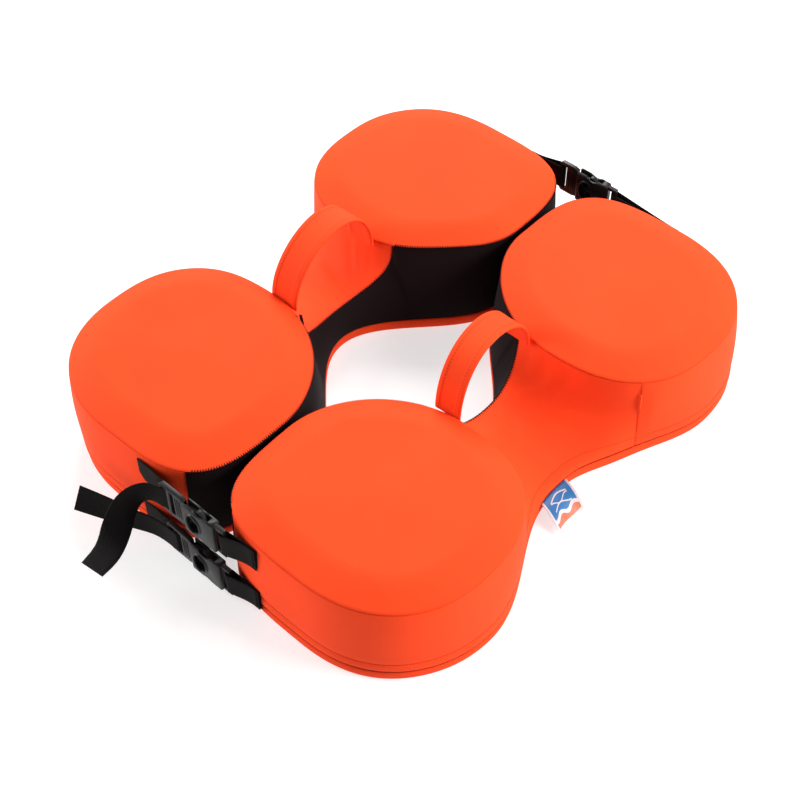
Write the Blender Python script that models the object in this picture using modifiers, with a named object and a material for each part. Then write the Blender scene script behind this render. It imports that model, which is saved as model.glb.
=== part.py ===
"""Foam life jacket worn round the chest: two mirrored halves that buckle together into a ring.

Axes: +X points from the left half to the right half, +Y from the front straps to the rear strap, +Z up.
Every size is in metres and is measured from the ring's centre. The whole ring is moved at the end, so that
the origin lies under the middle of its bounding box.
"""
import math

import bmesh
import bpy
from mathutils import Vector

# The pods: tall foam blocks, two to each half, seen from above
POD_HALF_X = 0.126
POD_HALF_Y = 0.1175
# Half the gap between the two halves, and half the length of the low waist between the pods
HALF_GAP = 0.003
WAIST_HALF_Y = 0.0635
POD_CENTRE_X = HALF_GAP + POD_HALF_X
POD_CENTRE_Y = WAIST_HALF_Y + POD_HALF_Y
# How square each quarter of a pod's outline is (2 is an ellipse)
OUTER_SQUARENESS = 2.25
GAP_SQUARENESS = 3.6
HOLE_SQUARENESS = 1.92
WAIST_SQUARENESS = 2.53

# The base line of a half, seen from above
FLARE_X = 0.008
FLARE_Y = 0.003
WAIST_OUTER_X = POD_CENTRE_X + 0.587 * POD_HALF_X
WAIST_OUTER_FLAT_Y = 0.010
WAIST_INNER_X = POD_CENTRE_X - 0.030
INNER_CURVE_Y = POD_CENTRE_Y - 0.026

# Heights above the floor
SEAM_HEIGHT = 0.108
DOME_RISE = 0.014
DOME_INSET = 0.055
DOME_TURNS = (0, 25, 50, 75)
# The foam's rounded upper edge: how far in, and how far above the seam
FOAM_SHOULDER = ((0.0, -0.002), (0.016, 0.0042), (0.038, 0.0081))
BAND_HEIGHT = 0.0135
ZIP_HEIGHT = 0.003
ZIP_THICKNESS = 0.0016
SADDLE_INNER_DROP = 0.49 * SEAM_HEIGHT

# Cover and foam
SKIN = 0.0025
FIT_GAP = 0.0003
FOAM_INSET = 0.006
FOAM_CLEARANCE = 0.0015
EDGE_GAP = 0.0012
SIDE_SEAM_GAP = 0.0022
BLACK_SEAM_X = 0.032
SADDLE_CORNER_X = POD_CENTRE_X + 0.778 * POD_HALF_X
SADDLE_BASE_Y = WAIST_HALF_Y + 0.0265
SADDLE_INNER_CORNER_X = POD_CENTRE_X - 0.041
SADDLE_TOP_INNER_X = POD_CENTRE_X - 0.025
# Share of the saddle's middle line that lies below its outer corners
SADDLE_EDGE_SHARE = 0.12
SADDLE_STEPS = 6

# Shoulder bands: each stands where it was last pushed, so the two halves differ
BAND_WIDTH = {"right": 0.032, "left": 0.036}
BAND_THICKNESS = 0.003
BAND_ARCH = 0.062
BAND_LEAN = {"right": 0.008, "left": -0.006}
BAND_DROP = 0.004
BAND_X = {
    "right": (POD_CENTRE_X - 0.024, POD_CENTRE_X - 0.036),
    "left": (POD_CENTRE_X - 0.009, POD_CENTRE_X - 0.003),
}

# Webbing and buckles
WEBBING_WIDTH = 0.030
WEBBING_THICKNESS = 0.0014
UPPER_STRAP_HEIGHT = SEAM_HEIGHT - 0.020
LOWER_STRAP_HEIGHT = 0.0085 + WEBBING_WIDTH / 2
STRAP_Y = POD_CENTRE_Y + POD_HALF_Y + 0.007
FRONT_ANCHOR_X = 0.080
REAR_LEFT_ANCHOR_X = 0.077
REAR_RIGHT_ANCHOR_X = POD_CENTRE_X - 0.001
REAR_BUCKLE_X = -0.004
SEWN_LENGTH = 0.014

BUCKLE_MARGIN = 0.006
PLUG_THICKNESS = 0.005
CAVITY_CLEARANCE = 0.0006
PLATE = 0.0024
MOUTH_X = -0.008
SHELL_END_X = 0.034
CAVITY_END_X = 0.0262
FRAME_END_X = 0.045
FRAME_THICKNESS = 0.0044
FEMALE_BAR = 0.004
SLOT_LENGTH = 0.0065
ADJUSTER_BAR = 0.004
ADJUSTER_SLOT = 0.0055
PLUG_BODY = 0.0157
TONGUE_HALF = 0.0032
TONGUE_END_X = 0.016
PLUG_CHAMFER = 0.003
PLUG_SHOULDER = 0.006
TIP_CHAMFER = 0.002
WINDOW_X = 0.006
WINDOW_SIZE = (0.016, 0.024)
GRIP_X = 0.0135
GRIP_OUT = 0.0035
GRIP_SIZE = (0.019, 0.014)
PRONG_ROOT = (-0.0057, 0.0132)
PRONG_ROOT_RADIUS = 0.0023

# Label on the right half's waist
LABEL_WIDTH = 0.042
LABEL_LENGTH = 0.033
LABEL_THICKNESS = 0.0012
LABEL_SKEW = -0.010
LABEL_Y = -0.011
LABEL_ROOT_HEIGHT = 0.0145
LABEL_TIP_HEIGHT = 0.004

# Tails: middle line from the buckle outwards, out from the strap's line and up from its height, and the
# direction across the webbing at each point
UPPER_TAIL = (
    ((-0.060, -0.0095, -0.002), (0.00, -0.10, 1.00)),
    ((-0.064, -0.0245, -0.008), (0.10, -0.35, 1.00)),
    ((-0.058, -0.0445, -0.026), (0.55, -0.50, 0.80)),
    ((-0.055, -0.0645, -0.041), (0.90, -0.10, 0.45)),
    ((-0.057, -0.0845, -0.049), (1.00, 0.10, 0.20)),
)
LOWER_TAIL = (
    ((-0.060, -0.0070, 0.0030), (0.00, 0.00, 1.00)),
    ((-0.078, -0.0165, 0.0075), (0.00, 0.10, 1.00)),
    ((-0.100, -0.0265, 0.0125), (0.00, 0.28, 1.00)),
    ((-0.133, -0.0395, 0.0155), (0.00, 0.48, 1.00)),
)

ZIP_TOP = BAND_HEIGHT + ZIP_HEIGHT
# The cover's walls stop this far under the seam, because the top panels' edges lean inwards
WALL_TOP = SEAM_HEIGHT - SKIN
ORANGE = (0.98, 0.13, 0.025)
DEEP_ORANGE = (0.93, 0.09, 0.02)
BLACK_CLOTH = (0.012, 0.010, 0.011)
BLACK_PLASTIC = (0.035, 0.033, 0.034)
FOAM_WHITE = (0.82, 0.80, 0.76)
LABEL_BLUE = (0.05, 0.30, 0.75)


def clear_scene():
    for obj in list(bpy.data.objects):
        bpy.data.objects.remove(obj, do_unlink=True)


def new_collection(name, hidden=False):
    collection = bpy.data.collections.new(name)
    bpy.context.scene.collection.children.link(collection)
    collection.hide_render = hidden
    return collection


def new_material(name, color, roughness, metallic=0.0):
    material = bpy.data.materials.new(name)
    material.use_nodes = True
    shader = material.node_tree.nodes["Principled BSDF"]
    shader.inputs["Base Color"].default_value = (*color, 1.0)
    shader.inputs["Roughness"].default_value = roughness
    shader.inputs["Metallic"].default_value = metallic
    return material


def add_object(name, data, material, origin=(0, 0, 0)):
    """Links an object whose data was made in ring coordinates, with its origin moved to `origin`."""
    obj = bpy.data.objects.new(name, data)
    if data.materials:
        data.materials[0] = material
    else:
        data.materials.append(material)
    PARTS.objects.link(obj)
    obj.parent = RING
    obj.location = origin
    return obj


# Outlines

def squared_quarter(half_x, half_y, squareness, start, count):
    """Points over 90 degrees of a superellipse about a pod's centre, anticlockwise from `start` degrees."""
    points = []
    for step in range(count + 1):
        angle = math.radians(start + 90 * step / count)
        c = math.cos(angle)
        s = math.sin(angle)
        x = math.copysign(abs(c) ** (2 / squareness), c) * half_x
        y = math.copysign(abs(s) ** (2 / squareness), s) * half_y
        points.append(Vector((POD_CENTRE_X + x, POD_CENTRE_Y + y, 0)))
    return points


def quarter_y(x, half_x, half_y, squareness):
    """How far from the pod's centre line its outline lies at `x`."""
    share = min(abs(x - POD_CENTRE_X) / half_x, 1.0)
    return half_y * (1 - share ** squareness) ** (1 / squareness)


def pod_outline(inset, z, count=8):
    """The rear right pod's closed outline, anticlockwise from its outermost point."""
    a = POD_HALF_X - inset
    b = POD_HALF_Y - inset
    quarters = (
        (0, OUTER_SQUARENESS),
        (90, GAP_SQUARENESS),
        (180, HOLE_SQUARENESS),
        (270, WAIST_SQUARENESS),
    )
    points = []
    for start, squareness in quarters:
        dense = squared_quarter(a, b, squareness, start, 6 * count)
        points += evenly(dense, count)[:-1]
    return [at_height(p, z) for p in points]


def evenly(points, count):
    """`count` + 1 points at equal steps along a line of points."""
    lengths = [0.0]
    for before, after in zip(points, points[1:]):
        lengths.append(lengths[-1] + (after - before).length)
    placed = []
    index = 0
    for step in range(count + 1):
        target = lengths[-1] * step / count
        while index < len(points) - 2 and lengths[index + 1] < target:
            index += 1
        span = lengths[index + 1] - lengths[index]
        share = (target - lengths[index]) / span if span else 0.0
        placed.append(points[index].lerp(points[index + 1], min(share, 1.0)))
    return placed


def at_height(point, z):
    return Vector((point.x, point.y, z))


def outer_base_x(y):
    turn = min(max(abs(y) - WAIST_OUTER_FLAT_Y, 0) / (POD_CENTRE_Y - WAIST_OUTER_FLAT_Y), 1)
    widest = POD_CENTRE_X + POD_HALF_X + FLARE_X
    return WAIST_OUTER_X + (widest - WAIST_OUTER_X) * (1 - math.cos(math.pi * turn)) / 2


def inner_base_x(y):
    turn = min(abs(y) / INNER_CURVE_Y, 1)
    gap = POD_CENTRE_X - POD_HALF_X
    return gap + (WAIST_INNER_X - gap) * (1 + math.cos(math.pi * turn)) / 2


def spread(start, end, count):
    return [start + (end - start) * step / count for step in range(count + 1)]


def flared_pod(start, squareness, flare_x):
    return squared_quarter(POD_HALF_X + flare_x, POD_HALF_Y + FLARE_Y, squareness, start, 60)


def rear_gusset_base():
    start = SADDLE_BASE_Y + SKIN + SIDE_SEAM_GAP
    side = [Vector((outer_base_x(y), y, 0)) for y in spread(start, POD_CENTRE_Y, 12)]
    corner = flared_pod(0, OUTER_SQUARENESS, FLARE_X)
    gap = [p for p in flared_pod(90, GAP_SQUARENESS, 0) if p.x >= BLACK_SEAM_X]
    return side[:-1] + corner[:-1] + gap


def rear_gusset_top():
    start_y = saddle_corner_y() + SKIN + SIDE_SEAM_GAP
    waist = squared_quarter(POD_HALF_X, POD_HALF_Y, WAIST_SQUARENESS, 270, 120)
    corner = squared_quarter(POD_HALF_X, POD_HALF_Y, OUTER_SQUARENESS, 0, 60)
    gap = squared_quarter(POD_HALF_X, POD_HALF_Y, GAP_SQUARENESS, 90, 60)
    return (
        [p for p in waist if p.x >= SADDLE_CORNER_X and p.y >= start_y][:-1]
        + corner[:-1]
        + [p for p in gap if p.x >= BLACK_SEAM_X]
    )


def gap_and_hole_top():
    """The pod's top seam from the rear black seam to the gap, and from the gap to the saddle's corner."""
    gap = squared_quarter(POD_HALF_X, POD_HALF_Y, GAP_SQUARENESS, 90, 60)
    hole = squared_quarter(POD_HALF_X, POD_HALF_Y, HOLE_SQUARENESS, 180, 60)
    return (
        [p for p in gap if p.x < BLACK_SEAM_X - EDGE_GAP],
        [p for p in hole if p.x < SADDLE_INNER_CORNER_X],
    )


def gap_and_hole_base():
    gap = [p for p in flared_pod(90, GAP_SQUARENESS, 0) if p.x < BLACK_SEAM_X - EDGE_GAP]
    hole = [Vector((inner_base_x(y), y, 0)) for y in spread(POD_CENTRE_Y, inner_corner_y(), 24)]
    return gap, hole


def saddle_corner_y():
    """Where the saddle's outer corner meets the pod's top seam."""
    return POD_CENTRE_Y - quarter_y(SADDLE_CORNER_X, POD_HALF_X, POD_HALF_Y, WAIST_SQUARENESS)


def inner_corner_y():
    """Where the saddle's inner edge meets the pod's top seam."""
    return POD_CENTRE_Y - quarter_y(SADDLE_INNER_CORNER_X, POD_HALF_X, POD_HALF_Y, HOLE_SQUARENESS)


def front_of(points):
    """The same line on the front pod, in the order that keeps it anticlockwise."""
    return [Vector((p.x, -p.y, p.z)) for p in reversed(points)]


# Solids

def mesh_from(name, rows, wrap=False, cap_first=False, cap_last=False, mirrored=False):
    """A mesh of quads between rows of points. A row runs anticlockwise, and rows run upwards."""
    mesh = bmesh.new()
    sign = -1 if mirrored else 1
    grid = [[mesh.verts.new((sign * p.x, p.y, p.z)) for p in row] for row in rows]
    columns = len(rows[0])
    for lower, upper in zip(grid, grid[1:]):
        for here in range(columns if wrap else columns - 1):
            there = (here + 1) % columns
            mesh.faces.new((lower[here], lower[there], upper[there], upper[here]))
    if cap_first:
        mesh.faces.new(tuple(reversed(grid[0])))
    if cap_last:
        mesh.faces.new(tuple(grid[-1]))
    if mirrored:
        bmesh.ops.reverse_faces(mesh, faces=mesh.faces)
    data = bpy.data.meshes.new(name)
    mesh.to_mesh(data)
    mesh.free()
    data.shade_smooth()
    data.set_sharp_from_angle(angle=math.radians(35))
    return data


def skin(name, rows, material, thickness=SKIN, offset=-1.0, **options):
    obj = add_object(name, mesh_from(name, rows, **options), material)
    solidify = obj.modifiers.new("Thickness", "SOLIDIFY")
    solidify.thickness = thickness
    solidify.offset = offset
    solidify.use_even_offset = True
    return obj


def block(name, rows, material, **options):
    return add_object(name, mesh_from(name, rows, wrap=True, cap_first=True, cap_last=True, **options), material)


def is_left(side):
    return side == "left"


# Foam and cover

def pod_line(end, points):
    return points if end == "rear" else front_of(points)


def add_pod_foam(side, end):
    levels = [(FOAM_INSET, SKIN + FIT_GAP)]
    levels += [(FOAM_INSET + inset, SEAM_HEIGHT + rise) for inset, rise in FOAM_SHOULDER]
    rows = [pod_line(end, pod_outline(inset, z, 6)) for inset, z in levels]
    block(f"{side}_{end}_pod_foam", rows, FOAM, mirrored=is_left(side))


def add_top_panel(side, end):
    rows = []
    flattest = 1 - math.cos(math.radians(DOME_TURNS[-1]))
    for turn in DOME_TURNS:
        angle = math.radians(turn)
        inset = DOME_INSET * (1 - math.cos(angle)) / flattest
        rise = DOME_RISE * math.sin(angle)
        rows.append(pod_line(end, pod_outline(inset, SEAM_HEIGHT + FIT_GAP + rise, 7)))
    name = f"{side}_{end}_top_panel"
    skin(name, rows, ORANGE_CLOTH, wrap=True, cap_last=True, mirrored=is_left(side))


def add_gusset(side, end):
    count = 18
    base = evenly(rear_gusset_base(), count)
    top = evenly(rear_gusset_top(), count)
    rows = [
        pod_line(end, [at_height(p, ZIP_TOP) for p in base]),
        pod_line(end, [at_height(p, WALL_TOP) for p in top]),
    ]
    name = f"{side}_{end}_outer_side_panel"
    skin(name, rows, ORANGE_CLOTH, mirrored=is_left(side))


# Share of the way to the pod, and share of the rise, across the saddle from its middle
SADDLE_PROFILE = (
    (0.0, 0.0),
    (0.30, 0.02),
    (0.55, 0.09),
    (0.75, 0.21),
    (0.90, 0.40),
    (0.985, 0.66),
    (1.0, 1.0),
)


def saddle_rows():
    """Rows of the saddle's outer face, from its outer edge to its inner edge."""
    corner = Vector((SADDLE_CORNER_X, saddle_corner_y(), WALL_TOP))
    foot_z = ZIP_TOP + SKIN
    foot = Vector((outer_base_x(SADDLE_BASE_Y), SADDLE_BASE_Y, foot_z))
    foot_mid = Vector((WAIST_OUTER_X, 0, foot_z))
    inner_x = SADDLE_INNER_CORNER_X + SKIN + EDGE_GAP
    inner_mid = Vector((SADDLE_TOP_INNER_X + SKIN + EDGE_GAP, 0, SEAM_HEIGHT - SADDLE_INNER_DROP))
    ends = []
    for share in (0.0, 0.5):
        ends.append((foot.lerp(corner, share), foot_mid.lerp(inner_mid, SADDLE_EDGE_SHARE * share)))
    for share in spread(0.0, 1.0, SADDLE_STEPS):
        x = corner.x + (inner_x - corner.x) * share
        squareness = WAIST_SQUARENESS if x > POD_CENTRE_X else HOLE_SQUARENESS
        y = POD_CENTRE_Y - quarter_y(x, POD_HALF_X, POD_HALF_Y, squareness)
        middle = foot_mid.lerp(inner_mid, SADDLE_EDGE_SHARE + (1 - SADDLE_EDGE_SHARE) * share)
        ends.append((Vector((x, y, WALL_TOP)), middle))
    rows = []
    for end, middle in ends:
        row = []
        for across, rise in SADDLE_PROFILE:
            x = middle.x + (end.x - middle.x) * across ** 2
            z = middle.z + (end.z - middle.z) * rise
            row.append(Vector((x, end.y * across, z)))
        if end == foot:
            row = [Vector((outer_base_x(p.y), p.y, foot_z)) for p in row]
        rows.append([Vector((p.x, -p.y, p.z)) for p in reversed(row[1:])] + row)
    return rows


def add_saddle(side):
    skin(f"{side}_saddle_panel", saddle_rows(), ORANGE_CLOTH, mirrored=is_left(side))


def add_bridge_foam(side):
    """The low foam between a half's two pods, under the saddle."""
    reach = POD_CENTRE_Y - POD_HALF_Y + FOAM_INSET - FIT_GAP
    inner = SADDLE_TOP_INNER_X + SKIN + FOAM_CLEARANCE
    outer = WAIST_OUTER_X - SKIN - FOAM_CLEARANCE
    floor = SKIN + FIT_GAP
    inner_top = SEAM_HEIGHT - SADDLE_INNER_DROP - 2 * SKIN - FOAM_CLEARANCE
    outer_top = ZIP_TOP - SKIN
    section = ((outer, floor), (outer, outer_top), (inner, inner_top), (inner, floor))
    rows = [[Vector((x, y, z)) for x, z in section] for y in (reach, -reach)]
    name = f"{side}_bridge_foam"
    block(name, rows, FOAM, mirrored=is_left(side))


def add_inner_panel(side):
    """The dark side panel: from the front seam, past the gap and round the chest hole to the rear seam."""
    valley = saddle_rows()[-1]
    shift = SKIN + EDGE_GAP
    top_waist = [Vector((p.x - shift, p.y, p.z)) for p in valley]
    base_waist = [Vector((inner_base_x(p.y), p.y, 0)) for p in valley]
    top_gap, top_hole = gap_and_hole_top()
    base_gap, base_hole = gap_and_hole_base()
    rear_top = evenly(top_gap, 7)[:-1] + evenly(top_hole, 9)[:-1]
    rear_base = evenly(base_gap, 7)[:-1] + evenly(base_hole, 9)[:-1]
    rear_top = [at_height(p, WALL_TOP) for p in rear_top]
    top = rear_top + list(reversed(top_waist)) + front_of(rear_top)
    base = rear_base + list(reversed(base_waist)) + front_of(rear_base)
    base = [at_height(p, BAND_HEIGHT + EDGE_GAP) for p in base]
    middle = [low.lerp(high, 0.5) for low, high in zip(base, top)]
    skin(f"{side}_inner_side_panel", [base, middle, top], DARK_CLOTH, mirrored=is_left(side))


def half_base_line():
    """The half's closed base outline, anticlockwise from the front end of its outer waist."""
    waist = [Vector((outer_base_x(y), y, 0)) for y in spread(-SADDLE_BASE_Y, SADDLE_BASE_Y, 10)]
    rear = evenly(rear_gusset_base(), 20)
    gap, hole = gap_and_hole_base()
    gap = evenly(gap, 6)
    hole = evenly(hole, 8)
    reach = inner_corner_y()
    inner = [Vector((inner_base_x(y), y, 0)) for y in spread(reach, -reach, 8)]
    rear_end = gap + hole[1:]
    return waist[:-1] + rear + rear_end[:-1] + inner + front_of(rear_end[:-1]) + front_of(rear)[:-1]


def add_bottom_panel(side):
    line = half_base_line()
    rows = [line, [at_height(p, BAND_HEIGHT) for p in line]]
    name = f"{side}_bottom_panel"
    skin(name, rows, ORANGE_CLOTH, wrap=True, cap_first=True, mirrored=is_left(side))


def add_zip(side):
    rear = evenly(rear_gusset_base(), 22)
    waist = [Vector((outer_base_x(y), y, 0)) for y in spread(-SADDLE_BASE_Y, SADDLE_BASE_Y, 10)]
    line = front_of(rear)[:-1] + waist[:-1] + rear
    rows = [
        [at_height(p, BAND_HEIGHT + FIT_GAP) for p in line],
        [at_height(p, ZIP_TOP - FIT_GAP) for p in line],
    ]
    skin(f"{side}_zip", rows, ZIP_TAPE, thickness=ZIP_THICKNESS, mirrored=is_left(side))


# Webbing, bands and label

def ribbon(name, stations, width, thickness, material, origin=(0, 0, 0)):
    """A flat strip through (middle, direction across) stations."""
    shift = Vector(origin)
    rows = []
    for sign in (-0.5, 0.5):
        row = []
        for middle, across in stations:
            row.append(Vector(middle) + Vector(across).normalized() * width * sign - shift)
        rows.append(row)
    obj = skin(name, rows, material, thickness=thickness, offset=0.0)
    obj.location = shift
    return obj


def arc(centre_x, centre_y, radius, start, end, count):
    points = []
    for angle in spread(start, end, count):
        turn = math.radians(angle)
        points.append((centre_x + radius * math.cos(turn), centre_y + radius * math.sin(turn)))
    return points


def band_roots(side):
    front_x, rear_x = BAND_X[side]
    sign = -1 if side == "left" else 1
    y = POD_CENTRE_Y - POD_HALF_Y - FIT_GAP - 0.5 * BAND_THICKNESS
    z = SEAM_HEIGHT - BAND_DROP
    return Vector((sign * front_x, -y, z)), Vector((sign * rear_x, y, z))


def add_band(side):
    front, rear = band_roots(side)
    middle = (front + rear) / 2
    half = (rear - front) / 2
    stations = []
    for angle in spread(180, 0, 18):
        turn = math.radians(angle)
        along = math.cos(turn)
        height = math.sin(turn)
        lean = -BAND_LEAN[side] * height ** 2
        point = middle + half * along + Vector((0, lean, (BAND_ARCH + BAND_DROP) * height))
        stations.append((point, (1, 0, 0)))
    name = f"{side}_shoulder_band"
    ribbon(name, stations, BAND_WIDTH[side], BAND_THICKNESS, ORANGE_CLOTH, origin=middle)


def wall_y(x, z):
    """How far out a pod's cover lies at `x` and height `z`, near the straps."""
    seam = POD_CENTRE_Y + quarter_y(x, POD_HALF_X, POD_HALF_Y, GAP_SQUARENESS)
    base = POD_CENTRE_Y + quarter_y(x, POD_HALF_X, POD_HALF_Y + FLARE_Y, GAP_SQUARENESS)
    share = min(max((SEAM_HEIGHT - z) / (SEAM_HEIGHT - ZIP_TOP), 0), 1)
    return seam + (base - seam) * share


def sewn_end(anchor_x, height, layers=1):
    """Points where webbing lies on the cover, from its end towards the buckle."""
    low = height - WEBBING_WIDTH / 2
    away = FIT_GAP + WEBBING_THICKNESS * (layers - 0.5) + FIT_GAP * (layers - 1)
    out = [wall_y(x, low) + away for x in (anchor_x, anchor_x - SEWN_LENGTH)]
    outermost = max(out)
    return [(anchor_x, outermost), (anchor_x - SEWN_LENGTH, outermost)]


def add_loop_webbing(name, anchor_x, bar_x, bar_radius, height, sign_x, sign_y, shift_x=0.0):
    """Webbing sewn to a pod, round a buckle's bar and back to the same seam."""
    lower = sewn_end(anchor_x, height)
    upper = sewn_end(anchor_x, height, layers=2)
    turn = arc(bar_x, STRAP_Y, bar_radius, 270, 90, 8)
    path = lower + turn + [upper[1], (upper[0][0] - EDGE_GAP, upper[0][1])]
    stations = [((sign_x * x + shift_x, sign_y * y, height), (0, 0, 1)) for x, y in path]
    ribbon(name, stations, WEBBING_WIDTH, WEBBING_THICKNESS, WEBBING)


def add_tail_webbing(name, height, tail):
    """Webbing sewn to the left front pod, up through the adjuster and back out as a free tail."""
    plug_half = PLUG_THICKNESS / 2 + FIT_GAP + WEBBING_THICKNESS / 2 + FIT_GAP
    path = sewn_end(FRONT_ANCHOR_X + 0.002, height)
    inner_bar_x = -MOUTH_X + PLUG_BODY + ADJUSTER_SLOT
    outer_x = inner_bar_x + 2 * ADJUSTER_BAR + ADJUSTER_SLOT
    path.append((outer_x + 0.004, STRAP_Y - plug_half))
    path += arc(inner_bar_x + 0.0002, STRAP_Y, plug_half, 270, 90, 8)
    path.append((outer_x + 0.004, STRAP_Y + plug_half))
    stations = [((-x, -y, height), (0, 0, 1)) for x, y in path]
    buckle = Vector((0, -STRAP_Y, height))
    stations += [(buckle + Vector(point), across) for point, across in tail]
    ribbon(name, stations, WEBBING_WIDTH, WEBBING_THICKNESS, WEBBING)


def add_label():
    rows = []
    for y in (LABEL_Y - LABEL_WIDTH / 2, LABEL_Y + LABEL_WIDTH / 2):
        root_x = outer_base_x(y) + FIT_GAP + LABEL_THICKNESS / 2
        root = Vector((root_x, y, LABEL_ROOT_HEIGHT))
        tip = Vector((root_x + LABEL_LENGTH, y + LABEL_SKEW, LABEL_TIP_HEIGHT))
        rows.append([root, root.lerp(tip, 0.5) + Vector((0, 0, 0.002)), tip])
    skin("care_label", rows, LABEL, thickness=LABEL_THICKNESS, offset=0.0)


# Buckles

def outline_plate(name, outline, holes, thickness, material, origin):
    """A flat plate in the XZ plane, extruded along Y, with its origin at `origin`."""
    curve = bpy.data.curves.new(name, "CURVE")
    curve.dimensions = "2D"
    curve.fill_mode = "BOTH"
    curve.extrude = thickness / 2
    for points in [outline, *holes]:
        spline = curve.splines.new("POLY")
        spline.points.add(len(points) - 1)
        for slot, (x, z) in zip(spline.points, points):
            slot.co = (x, z, 0, 1)
        spline.use_cyclic_u = True
    obj = add_object(name, curve, material, origin)
    obj.rotation_euler = (math.radians(90), 0, 0)
    return obj


def rectangle(x0, x1, half_height):
    return [(x0, -half_height), (x1, -half_height), (x1, half_height), (x0, half_height)]


def add_plug(name, origin, adjuster):
    """The half with the prongs: bars for the webbing, a body and a middle tongue."""
    side = WEBBING_WIDTH / 2 + BUCKLE_MARGIN
    slot_half = WEBBING_WIDTH / 2 + 0.001
    body_end = MOUTH_X - FIT_GAP
    body_start = MOUTH_X - PLUG_BODY
    holes = []
    start = body_start
    for _ in range(2 if adjuster else 1):
        holes.append(rectangle(start - ADJUSTER_SLOT, start, slot_half))
        start -= ADJUSTER_SLOT + ADJUSTER_BAR
    outline = [
        (start, -side + PLUG_CHAMFER),
        (start + PLUG_CHAMFER, -side),
        (body_end - PLUG_SHOULDER, -side),
        (body_end, -side + TIP_CHAMFER),
        (body_end, -TONGUE_HALF),
        (TONGUE_END_X - TIP_CHAMFER, -TONGUE_HALF),
        (TONGUE_END_X, -TONGUE_HALF + TIP_CHAMFER),
        (TONGUE_END_X, TONGUE_HALF - TIP_CHAMFER),
        (TONGUE_END_X - TIP_CHAMFER, TONGUE_HALF),
        (body_end, TONGUE_HALF),
        (body_end, side - TIP_CHAMFER),
        (body_end - PLUG_SHOULDER, side),
        (start + PLUG_CHAMFER, side),
        (start, side - PLUG_CHAMFER),
    ]
    return outline_plate(name, outline, holes, PLUG_THICKNESS, PLASTIC, origin)


def add_prong(name, centre, sign):
    """A sprung arm, with its origin on the line that it bends about."""
    root_x, root_z = PRONG_ROOT
    head = WEBBING_WIDTH / 2 + BUCKLE_MARGIN - 0.0008
    # (x, z) from the buckle's middle, from the root's inner side round the tip to its outer side
    shape = [
        (0.008, root_z - 0.0018),
        (0.016, root_z - 0.0028),
        (0.0222, root_z - 0.0040),
        (0.0245, root_z - 0.0026),
        (0.0242, root_z - 0.0002),
        (0.0180, head - 0.0024),
        (0.0130, head),
        (0.0095, head),
        (0.0088, head - 0.0030),
        (0.0020, root_z + 0.0028),
    ]
    points = [(x - root_x, z - root_z) for x, z in shape]
    points += arc(0, 0, PRONG_ROOT_RADIUS, 90, 270, 8)
    outline = [(x, sign * z) for x, z in points]
    if sign < 0:
        outline.reverse()
    origin = Vector(centre) + Vector((root_x, 0, sign * root_z))
    return outline_plate(name, outline, [], PLUG_THICKNESS, PLASTIC, origin)


def cutter(name, obj, operation, kind, location, size):
    """A hidden box or round bar that cuts or joins `obj`, in the same coordinates as the buckle's middle."""
    if kind == "box":
        bpy.ops.mesh.primitive_cube_add(size=1, location=(0, 0, 0))
    else:
        bpy.ops.mesh.primitive_cylinder_add(vertices=24, radius=0.5, depth=1, rotation=(math.pi / 2, 0, 0))
        bpy.ops.object.transform_apply(location=False, rotation=True, scale=False)
    tool = bpy.context.object
    tool.name = name
    tool.scale = size
    bpy.ops.object.transform_apply(location=False, rotation=False, scale=True)
    for collection in list(tool.users_collection):
        collection.objects.unlink(tool)
    CUTTERS.objects.link(tool)
    tool.display_type = "WIRE"
    tool.hide_render = True
    tool.parent = obj
    tool.location = location
    boolean = obj.modifiers.new(name, "BOOLEAN")
    boolean.operation = operation
    boolean.object = tool
    return tool


def add_socket(name, origin):
    """The half that the prongs click into: two plates open at the sides, and a frame with the webbing slot."""
    half = WEBBING_WIDTH / 2 + BUCKLE_MARGIN
    cavity = PLUG_THICKNESS + 2 * CAVITY_CLEARANCE
    outer = cavity + 2 * PLATE
    bpy.ops.mesh.primitive_cube_add(size=1)
    obj = bpy.context.object
    obj.name = name
    obj.scale = (SHELL_END_X - MOUTH_X, outer, 2 * half)
    bpy.ops.object.transform_apply(location=False, rotation=False, scale=True)
    for vertex in obj.data.vertices:
        vertex.co.x += (SHELL_END_X + MOUTH_X) / 2
    for collection in list(obj.users_collection):
        collection.objects.unlink(obj)
    PARTS.objects.link(obj)
    obj.data.materials.append(PLASTIC)
    obj.parent = RING
    obj.location = origin
    bevel = obj.modifiers.new("Rounded edges", "BEVEL")
    bevel.width = 0.0022
    bevel.segments = 2
    frame_mid = (SHELL_END_X - 0.004 + FRAME_END_X) / 2
    frame_size = (FRAME_END_X - SHELL_END_X + 0.004, FRAME_THICKNESS, 2 * half - 0.002)
    cutter(f"{name}_frame", obj, "UNION", "box", (frame_mid, 0, 0), frame_size)
    slot_end = FRAME_END_X - FEMALE_BAR
    slot_size = (SLOT_LENGTH, 2 * outer, WEBBING_WIDTH + 0.002)
    cutter(f"{name}_slot", obj, "DIFFERENCE", "box", (slot_end - SLOT_LENGTH / 2, 0, 0), slot_size)
    cavity_length = CAVITY_END_X - MOUTH_X + 0.004
    cavity_mid = CAVITY_END_X - cavity_length / 2
    cutter(f"{name}_cavity", obj, "DIFFERENCE", "box", (cavity_mid, 0, 0), (cavity_length, cavity, 3 * half))
    window = (WINDOW_SIZE[0], outer, WINDOW_SIZE[1])
    cutter(f"{name}_window", obj, "DIFFERENCE", "round", (WINDOW_X, -outer / 2, 0), window)
    for sign in (-1, 1):
        place = (GRIP_X, 0, sign * (half + GRIP_OUT))
        grip = (GRIP_SIZE[0], 2 * outer, GRIP_SIZE[1])
        cutter(f"{name}_grip{sign}", obj, "DIFFERENCE", "round", place, grip)
    return obj


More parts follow.
